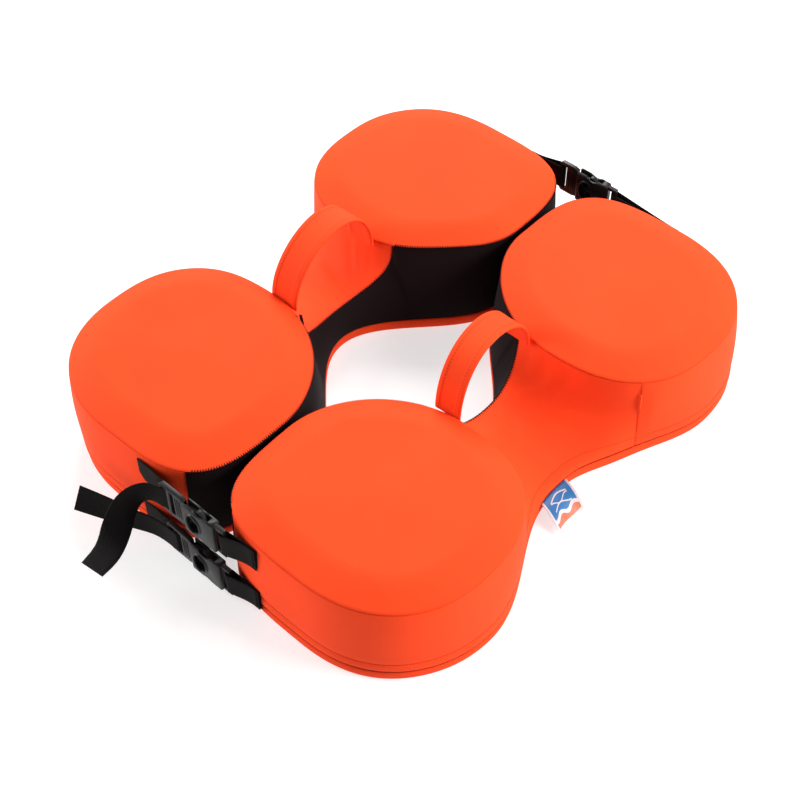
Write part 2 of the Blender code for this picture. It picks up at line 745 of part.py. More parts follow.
def add_buckle(name, origin, adjuster):
    add_plug(f"{name}_plug", origin, adjuster)
    add_prong(f"{name}_upper_prong", origin, 1)
    add_prong(f"{name}_lower_prong", origin, -1)
    add_socket(f"{name}_socket", origin)


def add_front_strap(level, height, tail):
    name = f"front_{level}"
    add_buckle(f"{name}_buckle", (0, -STRAP_Y, height), adjuster=True)
    add_tail_webbing(f"{name}_tail_webbing", height, tail)
    bar = FRAME_END_X - FEMALE_BAR / 2
    add_loop_webbing(f"{name}_loop_webbing", FRONT_ANCHOR_X, bar, 0.0040, height, 1, -1)


def add_rear_strap():
    height = UPPER_STRAP_HEIGHT + 0.002
    add_buckle("rear_buckle", (REAR_BUCKLE_X, STRAP_Y, height), adjuster=False)
    socket_bar = FRAME_END_X - FEMALE_BAR / 2 + REAR_BUCKLE_X
    add_loop_webbing("rear_right_webbing", REAR_RIGHT_ANCHOR_X, socket_bar, 0.0040, height, 1, 1)
    plug_bar = -(MOUTH_X - PLUG_BODY - ADJUSTER_SLOT - ADJUSTER_BAR / 2) - REAR_BUCKLE_X
    add_loop_webbing("rear_left_webbing", REAR_LEFT_ANCHOR_X, plug_bar, 0.0042, height, -1, 1)


def add_half(side):
    for end in ("front", "rear"):
        add_pod_foam(side, end)
        add_top_panel(side, end)
        add_gusset(side, end)
    add_bridge_foam(side)
    add_saddle(side)
    add_inner_panel(side)
    add_bottom_panel(side)
    add_zip(side)
    add_band(side)


def centre_on_origin():
    """Moves the ring so that the origin lies under the middle of its bounding box, on the floor."""
    bpy.context.view_layer.update()
    graph = bpy.context.evaluated_depsgraph_get()
    low = Vector((math.inf,) * 3)
    high = Vector((-math.inf,) * 3)
    for obj in PARTS.objects:
        if obj.type == "EMPTY":
            continue
        evaluated = obj.evaluated_get(graph)
        mesh = evaluated.to_mesh()
        for vertex in mesh.vertices:
            point = evaluated.matrix_world @ vertex.co
            low = Vector(map(min, low, point))
            high = Vector(map(max, high, point))
        evaluated.to_mesh_clear()
    middle = (low + high) / 2
    RING.location = (-middle.x, -middle.y, -low.z)


clear_scene()
PARTS = new_collection("life_jacket")
CUTTERS = new_collection("cutters", hidden=True)
RING = bpy.data.objects.new("ring_centre", None)
PARTS.objects.link(RING)

ORANGE_CLOTH = new_material("orange_cloth", ORANGE, 0.75)
DARK_CLOTH = new_material("dark_cloth", BLACK_CLOTH, 0.8)
FOAM = new_material("foam", FOAM_WHITE, 0.9)
ZIP_TAPE = new_material("zip", DEEP_ORANGE, 0.6)
WEBBING = new_material("webbing", BLACK_CLOTH, 0.7)
PLASTIC = new_material("buckle_plastic", BLACK_PLASTIC, 0.4)
LABEL = new_material("label_cloth", LABEL_BLUE, 0.6)

add_half("right")
add_half("left")
add_front_strap("upper", UPPER_STRAP_HEIGHT, UPPER_TAIL)
add_front_strap("lower", LOWER_STRAP_HEIGHT, LOWER_TAIL)
add_rear_strap()
add_label()
centre_on_origin()
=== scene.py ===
"""Looks of a foam life jacket: padded covers, seams, zips, webbing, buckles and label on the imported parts."""
from __future__ import annotations

import logging
import math
from collections.abc import Sequence
from dataclasses import dataclass
from enum import Enum

import bmesh
import bpy
import numpy as np
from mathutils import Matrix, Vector, noise


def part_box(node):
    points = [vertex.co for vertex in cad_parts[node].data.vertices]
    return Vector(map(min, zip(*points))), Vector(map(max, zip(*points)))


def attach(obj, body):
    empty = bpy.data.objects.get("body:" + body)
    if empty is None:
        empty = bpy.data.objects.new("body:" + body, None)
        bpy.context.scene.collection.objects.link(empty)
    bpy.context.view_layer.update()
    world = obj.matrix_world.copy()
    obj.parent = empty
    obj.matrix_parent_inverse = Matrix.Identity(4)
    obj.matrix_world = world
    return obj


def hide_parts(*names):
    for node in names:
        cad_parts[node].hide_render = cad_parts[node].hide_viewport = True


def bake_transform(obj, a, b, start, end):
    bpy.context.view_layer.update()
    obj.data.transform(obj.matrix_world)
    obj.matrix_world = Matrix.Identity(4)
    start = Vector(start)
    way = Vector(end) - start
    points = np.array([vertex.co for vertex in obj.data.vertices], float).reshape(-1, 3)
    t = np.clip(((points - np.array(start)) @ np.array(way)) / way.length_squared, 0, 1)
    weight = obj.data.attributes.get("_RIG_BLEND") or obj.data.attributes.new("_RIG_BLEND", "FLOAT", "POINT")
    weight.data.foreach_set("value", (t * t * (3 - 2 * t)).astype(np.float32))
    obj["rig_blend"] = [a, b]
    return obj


LOG = logging.getLogger("life_jacket")
MM = 0.001
SMOOTH_ANGLE = math.radians(38)

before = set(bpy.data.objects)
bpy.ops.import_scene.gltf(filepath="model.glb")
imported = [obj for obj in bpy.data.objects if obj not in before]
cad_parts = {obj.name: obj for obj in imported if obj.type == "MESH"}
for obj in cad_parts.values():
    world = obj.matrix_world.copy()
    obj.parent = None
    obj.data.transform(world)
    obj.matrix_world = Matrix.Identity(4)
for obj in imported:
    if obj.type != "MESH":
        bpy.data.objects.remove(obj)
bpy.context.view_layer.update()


# Small tools

def linear(hex_code: str) -> tuple[float, float, float, float]:
    """Turns an sRGB hex colour into the linear colour that a shader takes.

    Args:
        hex_code: Six hex digits, such as "FF6232".

    Returns:
        Red, green, blue and alpha.
    """
    shares = [int(hex_code[i:i + 2], 16) / 255 for i in (0, 2, 4)]
    straight = [c / 12.92 if c <= 0.04045 else ((c + 0.055) / 1.055) ** 2.4 for c in shares]
    return straight[0], straight[1], straight[2], 1.0


def add_node(tree: bpy.types.NodeTree, kind: str, inputs: dict | None = None,
        **settings: object) -> bpy.types.Node:
    """Adds one node, with its settings, values and links.

    Args:
        tree: The material's node tree.
        kind: The node's type name, without "ShaderNode".
        inputs: Socket name or number to a value, or to the output socket that feeds it.
        **settings: Attributes of the node.

    Returns:
        The new node.
    """
    node = tree.nodes.new("ShaderNode" + kind)
    for name, value in settings.items():
        setattr(node, name, value)
    for name, value in (inputs or {}).items():
        if isinstance(value, bpy.types.NodeSocket):
            tree.links.new(value, node.inputs[name])
        else:
            node.inputs[name].default_value = value
    return node


def sum_of(tree: bpy.types.NodeTree, operation: str, *values: object) -> bpy.types.NodeSocket:
    """Adds a Math node and returns its result.

    Args:
        tree: The material's node tree.
        operation: The Math node's operation.
        *values: Numbers or sockets, in order.

    Returns:
        The result's socket.
    """
    return add_node(tree, "Math", dict(enumerate(values)), operation=operation).outputs[0]


def resampled(points: np.ndarray, count: int) -> np.ndarray:
    """Places points at equal steps along a line.

    Args:
        points: The line, one point a row.
        count: The number of steps.

    Returns:
        count + 1 points.
    """
    steps = np.linalg.norm(np.diff(points, axis=0), axis=1)
    along = np.concatenate([[0.0], np.cumsum(steps)])
    wanted = np.linspace(0.0, along[-1], count + 1)
    return np.stack([np.interp(wanted, along, points[:, k]) for k in range(points.shape[1])], axis=1)


def rounded(points: np.ndarray, times: int = 3) -> np.ndarray:
    """Cuts a line's corners until it is smooth, and keeps its two ends.

    Args:
        points: The line, one point a row.
        times: How often each corner is cut.

    Returns:
        The smooth line.
    """
    for _ in range(times):
        low = 0.75 * points[:-1] + 0.25 * points[1:]
        high = 0.25 * points[:-1] + 0.75 * points[1:]
        middle = np.stack([low, high], axis=1).reshape(-1, points.shape[1])
        points = np.concatenate([points[:1], middle[1:-1], points[-1:]])
    return points


def raised(points: np.ndarray, z: float | np.ndarray) -> np.ndarray:
    """Gives a flat line its height."""
    return np.column_stack([points[:, :2], np.broadcast_to(z, len(points))])


def front_of(points: np.ndarray) -> np.ndarray:
    """Mirrors a rear line to the front, in the order that keeps it anticlockwise."""
    turned = points[::-1].copy()
    turned[:, 1] *= -1
    return turned


def outward(points: np.ndarray) -> np.ndarray:
    """Unit normals, seen from above, on the right of a line's direction."""
    along = np.gradient(points[:, :2], axis=0)
    normals = np.column_stack([along[:, 1], -along[:, 0]])
    return normals / np.maximum(np.linalg.norm(normals, axis=1, keepdims=True), 1e-9)


def grid_normals(grid: np.ndarray) -> np.ndarray:
    """Unit normals of a grid of points.

    Args:
        grid: Rows that run upwards, of points that run anticlockwise.

    Returns:
        An array of the same shape.
    """
    along = np.gradient(grid, axis=1)
    up = np.gradient(grid, axis=0)
    normals = np.cross(along, up)
    return normals / np.maximum(np.linalg.norm(normals, axis=2, keepdims=True), 1e-12)


def near_ends(grid: np.ndarray, reach: float) -> np.ndarray:
    """Tells how free each point of a cover is from the seams at the ends of its row.

    Args:
        grid: Rows of points.
        reach: How far a seam holds the cloth, in metres.

    Returns:
        From 0 at a row's ends to 1 past the reach, one number a point.
    """
    steps = np.linalg.norm(np.diff(grid, axis=1), axis=2)
    along = np.concatenate([np.zeros((len(grid), 1)), np.cumsum(steps, axis=1)], axis=1)
    share = np.clip(np.minimum(along, along[:, -1:] - along) / reach, 0, 1)
    return share * share * (3 - 2 * share)


def softened(grid: np.ndarray, height: float, spread: float, seed: float, pinned: bool = True) -> np.ndarray:
    """Lets a cover lie a little unevenly, most in its middle and not at all at its first and last rows.

    Args:
        grid: Rows of points.
        height: The most that a point moves, in metres.
        spread: The width of one swelling, in metres.
        seed: Tells one cover's unevenness from another's.
        pinned: Whether the ends of each row lie in seams too.

    Returns:
        The moved grid.
    """
    normals = grid_normals(grid)
    moved = grid.copy()
    rows = len(grid)
    held = near_ends(grid, 26 * MM) if pinned else np.ones(grid.shape[:2])
    for i in range(1, rows - 1):
        weight = math.sin(math.pi * i / (rows - 1)) ** 0.5 * height
        for j in range(grid.shape[1]):
            place = Vector(grid[i, j]) / spread + Vector((seed, seed, 0))
            moved[i, j] += normals[i, j] * noise.noise(place) * weight * held[i, j]
    return moved


@dataclass(frozen=True)
class Settling:
    """Where the soft body has settled a little to one side, as a hand-sewn one does."""

    x: float
    y: float
    reach: float
    shift: tuple[float, float]
    at_top: bool

    def moved(self, points: np.ndarray) -> np.ndarray:
        """Moves points near the place, the most in its middle.

        Args:
            points: Points in ring coordinates, one a row.

        Returns:
            The points' displacements.
        """
        away = ((points[:, 0] - self.x) ** 2 + (points[:, 1] - self.y) ** 2) / (2 * self.reach ** 2)
        high = np.clip(points[:, 2] / 0.108, 0.0, 1.0)
        weight = np.exp(-away) * (high if self.at_top else 1 - high)
        return weight[:, None] * np.array([self.shift[0], self.shift[1], 0.0])


SETTLINGS = (
    Settling(-0.042, 0.104, 0.038, (-0.004, 0.010), at_top=True),
    Settling(0.222, 0.058, 0.030, (0.006, -0.002), at_top=False),
    Settling(-0.215, -0.265, 0.045, (0.006, 0.003), at_top=False),
    Settling(0.225, -0.240, 0.040, (-0.005, 0.002), at_top=False),
)


class Side(Enum):
    """The half of the jacket, with its sign along X."""

    LEFT = -1
    RIGHT = 1

    @property
    def word(self) -> str:
        """The side's name in lower case."""
        return self.name.lower()

    @property
    def body(self) -> str:
        """The rigid body of this half."""
        return f"{self.word}_half"


class End(Enum):
    """The end of a half, with its sign along Y."""

    FRONT = -1
    REAR = 1

    @property
    def word(self) -> str:
        """The end's name in lower case."""
        return self.name.lower()


# Finishes

@dataclass(frozen=True)
class CoverCloth:
    """Brushed polyester jersey, knitted and dyed: matt, with a faint fine grain and a soft light edge."""

    name: str
    face: str
    pile: str
    loop_mm: float = 1.3  # real loops are 0.4 mm, drawn coarse enough to show
    sheen: float = 0.03
    gleam: float = 0.12

    def material(self) -> bpy.types.Material:
        """Makes the shader.

        Returns:
            The material.
        """
        made = bpy.data.materials.new(self.name)
        made.use_nodes = True
        tree = made.node_tree
        shader = tree.nodes["Principled BSDF"]
        shader.inputs["Roughness"].default_value = 0.78
        shader.inputs["Specular IOR Level"].default_value = self.gleam
        shader.inputs["Sheen Weight"].default_value = self.sheen
        shader.inputs["Sheen Roughness"].default_value = 0.5
        shader.inputs["Sheen Tint"].default_value = linear(self.pile)
        flat = add_node(tree, "UVMap", uv_map="cloth").outputs["UV"]
        split = add_node(tree, "SeparateXYZ", {0: flat})
        turn = 2 * math.pi / (self.loop_mm * MM)
        wale = sum_of(tree, "SINE", sum_of(tree, "MULTIPLY", split.outputs[0], turn))
        course = sum_of(tree, "SINE", sum_of(tree, "MULTIPLY", split.outputs[1], turn))
        knit = sum_of(tree, "MULTIPLY", wale, course)
        place = add_node(tree, "TexCoord").outputs["Object"]
        grain = add_node(tree, "TexNoise", {"Vector": place, "Scale": 900.0, "Detail": 2.0})
        patch = add_node(tree, "TexNoise",
            {"Vector": place, "Scale": 14.0, "Detail": 3.0, "Roughness": 0.55})
        fibre = sum_of(tree, "MULTIPLY_ADD", knit, 0.18, grain.outputs["Fac"])
        tint = sum_of(tree, "MULTIPLY_ADD", fibre, 0.34, sum_of(tree, "MULTIPLY", patch.outputs["Fac"], 0.5))
        colour = add_node(tree, "Mix", {"Factor": tint, 6: linear(self.face), 7: linear(self.pile)},
                          data_type="RGBA", clamp_factor=True)
        tree.links.new(colour.outputs[2], shader.inputs["Base Color"])
        bump = add_node(tree, "Bump", {"Height": fibre, "Strength": 0.22, "Distance": 0.35 * MM})
        tree.links.new(bump.outputs["Normal"], shader.inputs["Normal"])
        return made


@dataclass(frozen=True)
class RibbedWebbing:
    """Woven polyester webbing: lengthwise ribs crossed by short slanting picks, dull with a slight gleam."""

    name: str
    face: str
    high: str
    rib_mm: float = 2.4
    pick_mm: float = 1.8

    def material(self) -> bpy.types.Material:
        """Makes the shader.

        Returns:
            The material.
        """
        made = bpy.data.materials.new(self.name)
        made.use_nodes = True
        tree = made.node_tree
        shader = tree.nodes["Principled BSDF"]
        shader.inputs["Roughness"].default_value = 0.66
        shader.inputs["Specular IOR Level"].default_value = 0.07
        flat = add_node(tree, "UVMap", uv_map="cloth").outputs["UV"]
        split = add_node(tree, "SeparateXYZ", {0: flat})
        rib = sum_of(tree, "SINE",
            sum_of(tree, "MULTIPLY", split.outputs[0], 2 * math.pi / (self.rib_mm * MM)))
        slant = sum_of(tree, "MULTIPLY_ADD", split.outputs[0], 0.9, split.outputs[1])
        pick = sum_of(tree, "SINE", sum_of(tree, "MULTIPLY", slant, 2 * math.pi / (self.pick_mm * MM)))
        weave = sum_of(tree, "MULTIPLY_ADD", sum_of(tree, "MULTIPLY", rib, pick), 0.35,
                       sum_of(tree, "MULTIPLY", rib, 0.5))
        tint = sum_of(tree, "MULTIPLY_ADD", weave, 0.45, 0.4)
        colour = add_node(tree, "Mix", {"Factor": tint, 6: linear(self.face), 7: linear(self.high)},
                          data_type="RGBA", clamp_factor=True)
        tree.links.new(colour.outputs[2], shader.inputs["Base Color"])
        bump = add_node(tree, "Bump", {"Height": weave, "Strength": 0.6, "Distance": 0.4 * MM})
        tree.links.new(bump.outputs["Normal"], shader.inputs["Normal"])
        return made


@dataclass(frozen=True)
class MouldedAcetal:
    """Injection-moulded acetal with a spark-eroded grain: dark, half gloss, rubbed smoother in patches."""

    name: str
    face: str
    grain_mm: float = 0.5

    def material(self) -> bpy.types.Material:
        """Makes the shader.

        Returns:
            The material.
        """
        made = bpy.data.materials.new(self.name)
        made.use_nodes = True
        tree = made.node_tree
        shader = tree.nodes["Principled BSDF"]
        shader.inputs["Base Color"].default_value = linear(self.face)
        shader.inputs["IOR"].default_value = 1.48
        shader.inputs["Specular IOR Level"].default_value = 0.3
        place = add_node(tree, "TexCoord").outputs["Object"]
        wear = add_node(tree, "TexNoise", {"Vector": place, "Scale": 60.0, "Detail": 3.0})
        rough = add_node(tree, "MapRange", {"Value": wear.outputs["Fac"], "To Min": 0.34, "To Max": 0.5})
        tree.links.new(rough.outputs["Result"], shader.inputs["Roughness"])
        grain = add_node(tree, "TexNoise",
            {"Vector": place, "Scale": 1 / (self.grain_mm * MM), "Detail": 1.0})
        bump = add_node(tree, "Bump",
            {"Height": grain.outputs["Fac"], "Strength": 0.12, "Distance": 0.1 * MM})
        tree.links.new(bump.outputs["Normal"], shader.inputs["Normal"])
        return made


@dataclass(frozen=True)
class SpunThread:
    """Spun polyester sewing thread: matt, a shade off its cloth, with a fine twist."""

    name: str
    face: str

    def material(self) -> bpy.types.Material:
        """Makes the shader.

        Returns:
            The material.
        """
        made = bpy.data.materials.new(self.name)
        made.use_nodes = True
        tree = made.node_tree
        shader = tree.nodes["Principled BSDF"]
        shader.inputs["Roughness"].default_value = 0.7
        shader.inputs["Specular IOR Level"].default_value = 0.1
        place = add_node(tree, "TexCoord").outputs["Object"]
        twist = add_node(tree, "TexNoise", {"Vector": place, "Scale": 2500.0, "Detail": 1.0})
        dark = tuple(0.72 * c for c in linear(self.face)[:3]) + (1.0,)
        colour = add_node(tree, "Mix", {"Factor": twist.outputs["Fac"], 6: linear(self.face), 7: dark},
                          data_type="RGBA")
        tree.links.new(colour.outputs[2], shader.inputs["Base Color"])
        return made


@dataclass(frozen=True)
class CellFoam:
    """Closed-cell polyethylene foam, cut from sheet: chalky white with fine pores."""

    name: str
    face: str
    pore_mm: float = 1.2

    def material(self) -> bpy.types.Material:
        """Makes the shader.

        Returns:
            The material.
        """
        made = bpy.data.materials.new(self.name)
        made.use_nodes = True
        tree = made.node_tree
        shader = tree.nodes["Principled BSDF"]
        shader.inputs["Roughness"].default_value = 0.9
        place = add_node(tree, "TexCoord").outputs["Object"]
        pores = add_node(tree, "TexVoronoi", {"Vector": place, "Scale": 1 / (self.pore_mm * MM)})
        shade = tuple(0.8 * c for c in linear(self.face)[:3]) + (1.0,)
        colour = add_node(tree, "Mix", {"Factor": pores.outputs["Distance"], 6: shade, 7: linear(self.face)},
                          data_type="RGBA")
        tree.links.new(colour.outputs[2], shader.inputs["Base Color"])
        bump = add_node(tree, "Bump",
            {"Height": pores.outputs["Distance"], "Strength": 0.4, "Distance": 0.3 * MM})
        tree.links.new(bump.outputs["Normal"], shader.inputs["Normal"])
        return made


@dataclass(frozen=True)
class PrintedSatin:
    """Woven satin tape, screen printed: white border, blue sky, white waves and shoreline, orange ground."""

    name: str
    white: str = "BDBABB"
    sky: str = "1D639C"
    ground: str = "B4511F"

    def material(self) -> bpy.types.Material:
        """Makes the shader. The label's map runs 0 to 1 across it, and 0 to 1 from its root to its fold.

        Returns:
            The material.
        """
        made = bpy.data.materials.new(self.name)
        made.use_nodes = True
        tree = made.node_tree
        shader = tree.nodes["Principled BSDF"]
        shader.inputs["Roughness"].default_value = 0.42
        flat = add_node(tree, "UVMap", uv_map="cloth").outputs["UV"]
        split = add_node(tree, "SeparateXYZ", {0: flat})
        across = split.outputs[0]
        down = split.outputs[1]
        swell = sum_of(tree, "SINE", sum_of(tree, "MULTIPLY", across, 14.0))
        shore = sum_of(tree, "MULTIPLY_ADD", swell, 0.05, 0.70)
        below = sum_of(tree, "GREATER_THAN", down, sum_of(tree, "ADD", shore, 0.05))
        field = add_node(tree, "Mix", {"Factor": below, 6: linear(self.sky), 7: linear(self.ground)},
                         data_type="RGBA").outputs[2]
        lines = sum_of(tree, "LESS_THAN", sum_of(tree, "ABSOLUTE", sum_of(tree, "SUBTRACT", down, shore)),
            0.055)
        for height, wide, turns, start in ((0.50, 0.022, 9.0, 0.6), (0.36, 0.020, 12.0, 2.2),
                (0.22, 0.024, 7.0, 1.1)):
            curl = sum_of(tree, "SINE", sum_of(tree, "MULTIPLY_ADD", across, turns, start))
            crest = sum_of(tree, "MULTIPLY_ADD", curl, 0.07, height)
            near = sum_of(tree, "ABSOLUTE", sum_of(tree, "SUBTRACT", down, crest))
            inside = sum_of(tree, "LESS_THAN",
                sum_of(tree, "ABSOLUTE", sum_of(tree, "SUBTRACT", across, 0.5)), 0.3)
            stroke = sum_of(tree, "MULTIPLY", sum_of(tree, "LESS_THAN", near, wide), inside)
            lines = sum_of(tree, "MAXIMUM", lines, stroke)
        border_x = sum_of(tree, "GREATER_THAN",
                          sum_of(tree, "ABSOLUTE", sum_of(tree, "SUBTRACT", across, 0.5)), 0.44)
        border_y = sum_of(tree, "GREATER_THAN", down, 0.92)
        blank = sum_of(tree, "MAXIMUM", lines, sum_of(tree, "MAXIMUM", border_x, border_y))
        colour = add_node(tree, "Mix", {"Factor": blank, 6: field, 7: linear(self.white)}, data_type="RGBA")
        tree.links.new(colour.outputs[2], shader.inputs["Base Color"])
        thread = sum_of(tree, "SINE", sum_of(tree, "MULTIPLY", across, 520.0))
        bump = add_node(tree, "Bump", {"Height": thread, "Strength": 0.15, "Distance": 0.1 * MM})
        tree.links.new(bump.outputs["Normal"], shader.inputs["Normal"])
        return made


@dataclass(frozen=True)
class Wardrobe:
    """Every finish of the jacket, made once."""

    orange: bpy.types.Material
    black: bpy.types.Material
    webbing: bpy.types.Material
    acetal: bpy.types.Material
    orange_thread: bpy.types.Material
    black_thread: bpy.types.Material
    zip_tape: bpy.types.Material
    zip_coil: bpy.types.Material
    foam: bpy.types.Material
    label: bpy.types.Material


def make_wardrobe() -> Wardrobe:
    """Makes the jacket's materials.

    Returns:
        All the finishes.
    """
    return Wardrobe(
        orange=CoverCloth("orange_brushed_jersey", "E63C14", "F04A1E").material(),
        black=CoverCloth("black_brushed_jersey", "110708", "1B0F10", sheen=0.01, gleam=0.08).material(),
        webbing=RibbedWebbing("black_polyester_webbing", "070505", "120D0D").material(),
        acetal=MouldedAcetal("black_moulded_acetal", "0C0A0A").material(),
        orange_thread=SpunThread("orange_polyester_thread", "D0380F").material(),
        black_thread=SpunThread("black_polyester_thread", "1B1012").material(),
        zip_tape=CoverCloth("orange_zip_tape", "A8240A", "BE3312", loop_mm=1.6).material(),
        zip_coil=SpunThread("orange_nylon_coil", "A3260E").material(),
        foam=CellFoam("white_closed_cell_foam", "EDE9E2").material(),
        label=PrintedSatin("printed_satin_label").material(),
    )


# Making pieces

def ring_shift() -> Vector:
    """Where the ring's centre lies in the frame, whose origin is under the whole object's middle."""
    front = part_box("front_upper_buckle_plug")
    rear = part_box("rear_buckle_plug")
    middle = (front[0].y + front[1].y + rear[0].y + rear[1].y) / 4
    return Vector((0, middle, 0))


RING = ring_shift()


def only(obj: bpy.types.Object) -> None:
    """Selects one object and nothing else."""
    bpy.ops.object.select_all(action="DESELECT")
    obj.select_set(True)
    bpy.context.view_layer.objects.active = obj


def linked_mesh(name: str, points: np.ndarray, faces: Sequence[Sequence[int]],
                uv: np.ndarray | None, material: bpy.types.Material) -> bpy.types.Object:
    """Makes an object from points in ring coordinates.

    Args:
        name: The piece's name.
        points: One point a row.
        faces: Corners of each face, anticlockwise from outside.
        uv: One pair for each face corner, in metres, or None.
        material: The piece's finish.

    Returns:
        The object, at the frame's origin.
    """
    points = points + sum(place.moved(points) for place in SETTLINGS)
    data = bpy.data.meshes.new(name)
    data.from_pydata((points + np.array(RING)).tolist(), [], faces)
    if uv is not None:
        layer = data.uv_layers.new(name="cloth")
        layer.data.foreach_set("uv", np.asarray(uv, np.float32).ravel())
    data.materials.append(material)
    data.validate()
    obj = bpy.data.objects.new(name, data)
    bpy.context.scene.collection.objects.link(obj)
    return obj


def loft(name: str, grid: np.ndarray, material: bpy.types.Material, side: Side = Side.RIGHT,
        wrap: bool = False,
         cap_first: bool = False, cap_last: bool = False, from_above: bool = False) -> bpy.types.Object:
    """Makes a surface through rows of points.

    Args:
        name: The piece's name.
        grid: Rows that run upwards, of points that run anticlockwise.
        material: The piece's finish.
        side: The half; the left one mirrors the grid.
        wrap: Whether each row is closed.
        cap_first: Whether the first row is filled.
        cap_last: Whether the last row is filled.
        from_above: Whether the cloth's map lies flat in plan, as on a top cover.

    Returns:
        The object.
    """
    points = grid * np.array([side.value, 1, 1])
    rows, count = grid.shape[:2]
    closed = np.concatenate([grid, grid[:, :1]], axis=1)
    if from_above:
        u = closed[:, :, 0]
        v = closed[:, :, 1]
    else:
        middle = closed[rows // 2]
        along = np.concatenate([[0.0], np.cumsum(np.linalg.norm(np.diff(middle, axis=0), axis=1))])
        u = np.broadcast_to(along, (rows, count + 1))
        rise = np.linalg.norm(np.diff(closed, axis=0), axis=2).mean(axis=1)
        v = np.broadcast_to(np.concatenate([[0.0], np.cumsum(rise)])[:, None], (rows, count + 1))
    faces = []
    uv = []
    for i in range(rows - 1):
        for j in range(count if wrap else count - 1):
            corners = [(i, j), (i, j + 1), (i + 1, j + 1), (i + 1, j)]
            if side is Side.LEFT:
                corners.reverse()
            faces.append([a * count + b % count for a, b in corners])
            uv += [(u[a, b], v[a, b]) for a, b in corners]
    for wanted, row in ((cap_first, 0), (cap_last, rows - 1)):
        if wanted:
            corners = list(range(count))
            if (row == 0) != (side is Side.LEFT):
                corners.reverse()
            faces.append([row * count + b for b in corners])
            uv += [(grid[row, b, 0], grid[row, b, 1]) for b in corners]
    return linked_mesh(name, points.reshape(-1, 3), faces, np.array(uv), material)


def thicken(obj: bpy.types.Object, thickness: float, offset: float = -1.0) -> None:
    """Gives a surface its thickness and applies it.

    Args:
        obj: The surface.
        thickness: In metres.
        offset: -1 inwards from the surface, 0 to both sides.
    """
    only(obj)
    wall = obj.modifiers.new("Thickness", "SOLIDIFY")
    wall.thickness = thickness
    wall.offset = offset
    bpy.ops.object.modifier_apply(modifier=wall.name)


def smooth(obj: bpy.types.Object, angle: float = SMOOTH_ANGLE) -> None:
    """Shades a piece smooth, but for edges sharper than an angle."""
    only(obj)
    bpy.ops.object.shade_smooth_by_angle(angle=angle)


def report(obj: bpy.types.Object, body: str,
        nodes: Sequence[str] = ()) -> bpy.types.Object:
    """Lets a piece ride on a body, hides the CAD nodes that it stands for, and logs it.

    Args:
        obj: The finished piece.
        body: The rigid body that it moves with.
        nodes: The CAD nodes that it stands for.

    Returns:
        The same piece.
    """
    if "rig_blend" not in obj:
        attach(obj, body)
    if nodes:
        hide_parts(*nodes)
    LOG.info("%s: %d faces", obj.name, len(obj.data.polygons))
    return obj


def stitches(name: str, line: np.ndarray, normals: np.ndarray, material: bpy.types.Material,
        side: Side = Side.RIGHT,
             pitch: float = 3.2 * MM, length: float = 2.4 * MM, radius: float = 0.42 * MM,
             across: bool = False, closed: bool = False) -> bpy.types.Object:
    """Sews a row of stitches, each a short tapered thread that lies in the cloth.

    Args:
        name: The piece's name.
        line: The seam's line, one point a row.
        normals: Unit normals of the cloth along that line.
        material: The thread.
        side: The half; the left one mirrors the line.
        pitch: From one stitch to the next, in metres.
        length: Of a stitch, in metres.
        radius: Of the thread, in metres.
        across: Whether each stitch lies across the seam, as on an overlocked edge.
        closed: Whether the line returns to its start.

    Returns:
        The object.
    """
    if closed:
        line = np.concatenate([line, line[:1]])
        normals = np.concatenate([normals, normals[:1]])
    steps = np.linalg.norm(np.diff(line, axis=0), axis=1)
    along = np.concatenate([[0.0], np.cumsum(steps)])
    count = max(int(along[-1] / pitch), 2)
    at = (np.arange(count) + 0.5) * along[-1] / count

    def taken(values: np.ndarray, where: np.ndarray) -> np.ndarray:
        """Values of the line at given lengths along it."""
        return np.stack([np.interp(where, along, values[:, k]) for k in range(3)], axis=1)

    centre = taken(line, at)
    ahead = taken(line, np.minimum(at + 0.4 * MM, along[-1])) - taken(line, np.maximum(at - 0.4 * MM, 0))
    ahead /= np.maximum(np.linalg.norm(ahead, axis=1, keepdims=True), 1e-12)
    up = taken(normals, at)
    up /= np.maximum(np.linalg.norm(up, axis=1, keepdims=True), 1e-12)
    beside = np.cross(up, ahead)
    beside /= np.maximum(np.linalg.norm(beside, axis=1, keepdims=True), 1e-12)
    if across:
        ahead, beside = beside, ahead
    ring = ((1, 0), (0, 1), (-1, 0), (0, -1))
    points = []
    for share, swell in ((-0.5, 0.0), (-0.3, 1.0), (0.3, 1.0), (0.5, 0.0)):
        spots = ring if swell else ((0, 0),)
        dip = 0.35 * radius if swell else -0.6 * radius
        for a, b in spots:
            points.append(centre + ahead * share * length + beside * a * radius + up * (b * radius + dip))
    cloud = np.stack(points, axis=1)
    pattern = []
    for k in range(4):
        n = (k + 1) % 4
        pattern += [(0, 1 + n, 1 + k), (1 + k, 1 + n, 5 + n, 5 + k), (9, 5 + k, 5 + n)]
    if across:
        pattern = [tuple(reversed(face)) for face in pattern]
    if side is Side.LEFT:
        pattern = [tuple(reversed(face)) for face in pattern]
    faces = [[10 * i + v for v in face] for i in range(count) for face in pattern]
    points_all = cloud.reshape(-1, 3) * np.array([side.value, 1, 1])
    obj = linked_mesh(name, points_all, faces, None, material)
    smooth(obj, math.radians(80))
    return obj


# The shape of the ring, as the solids have it

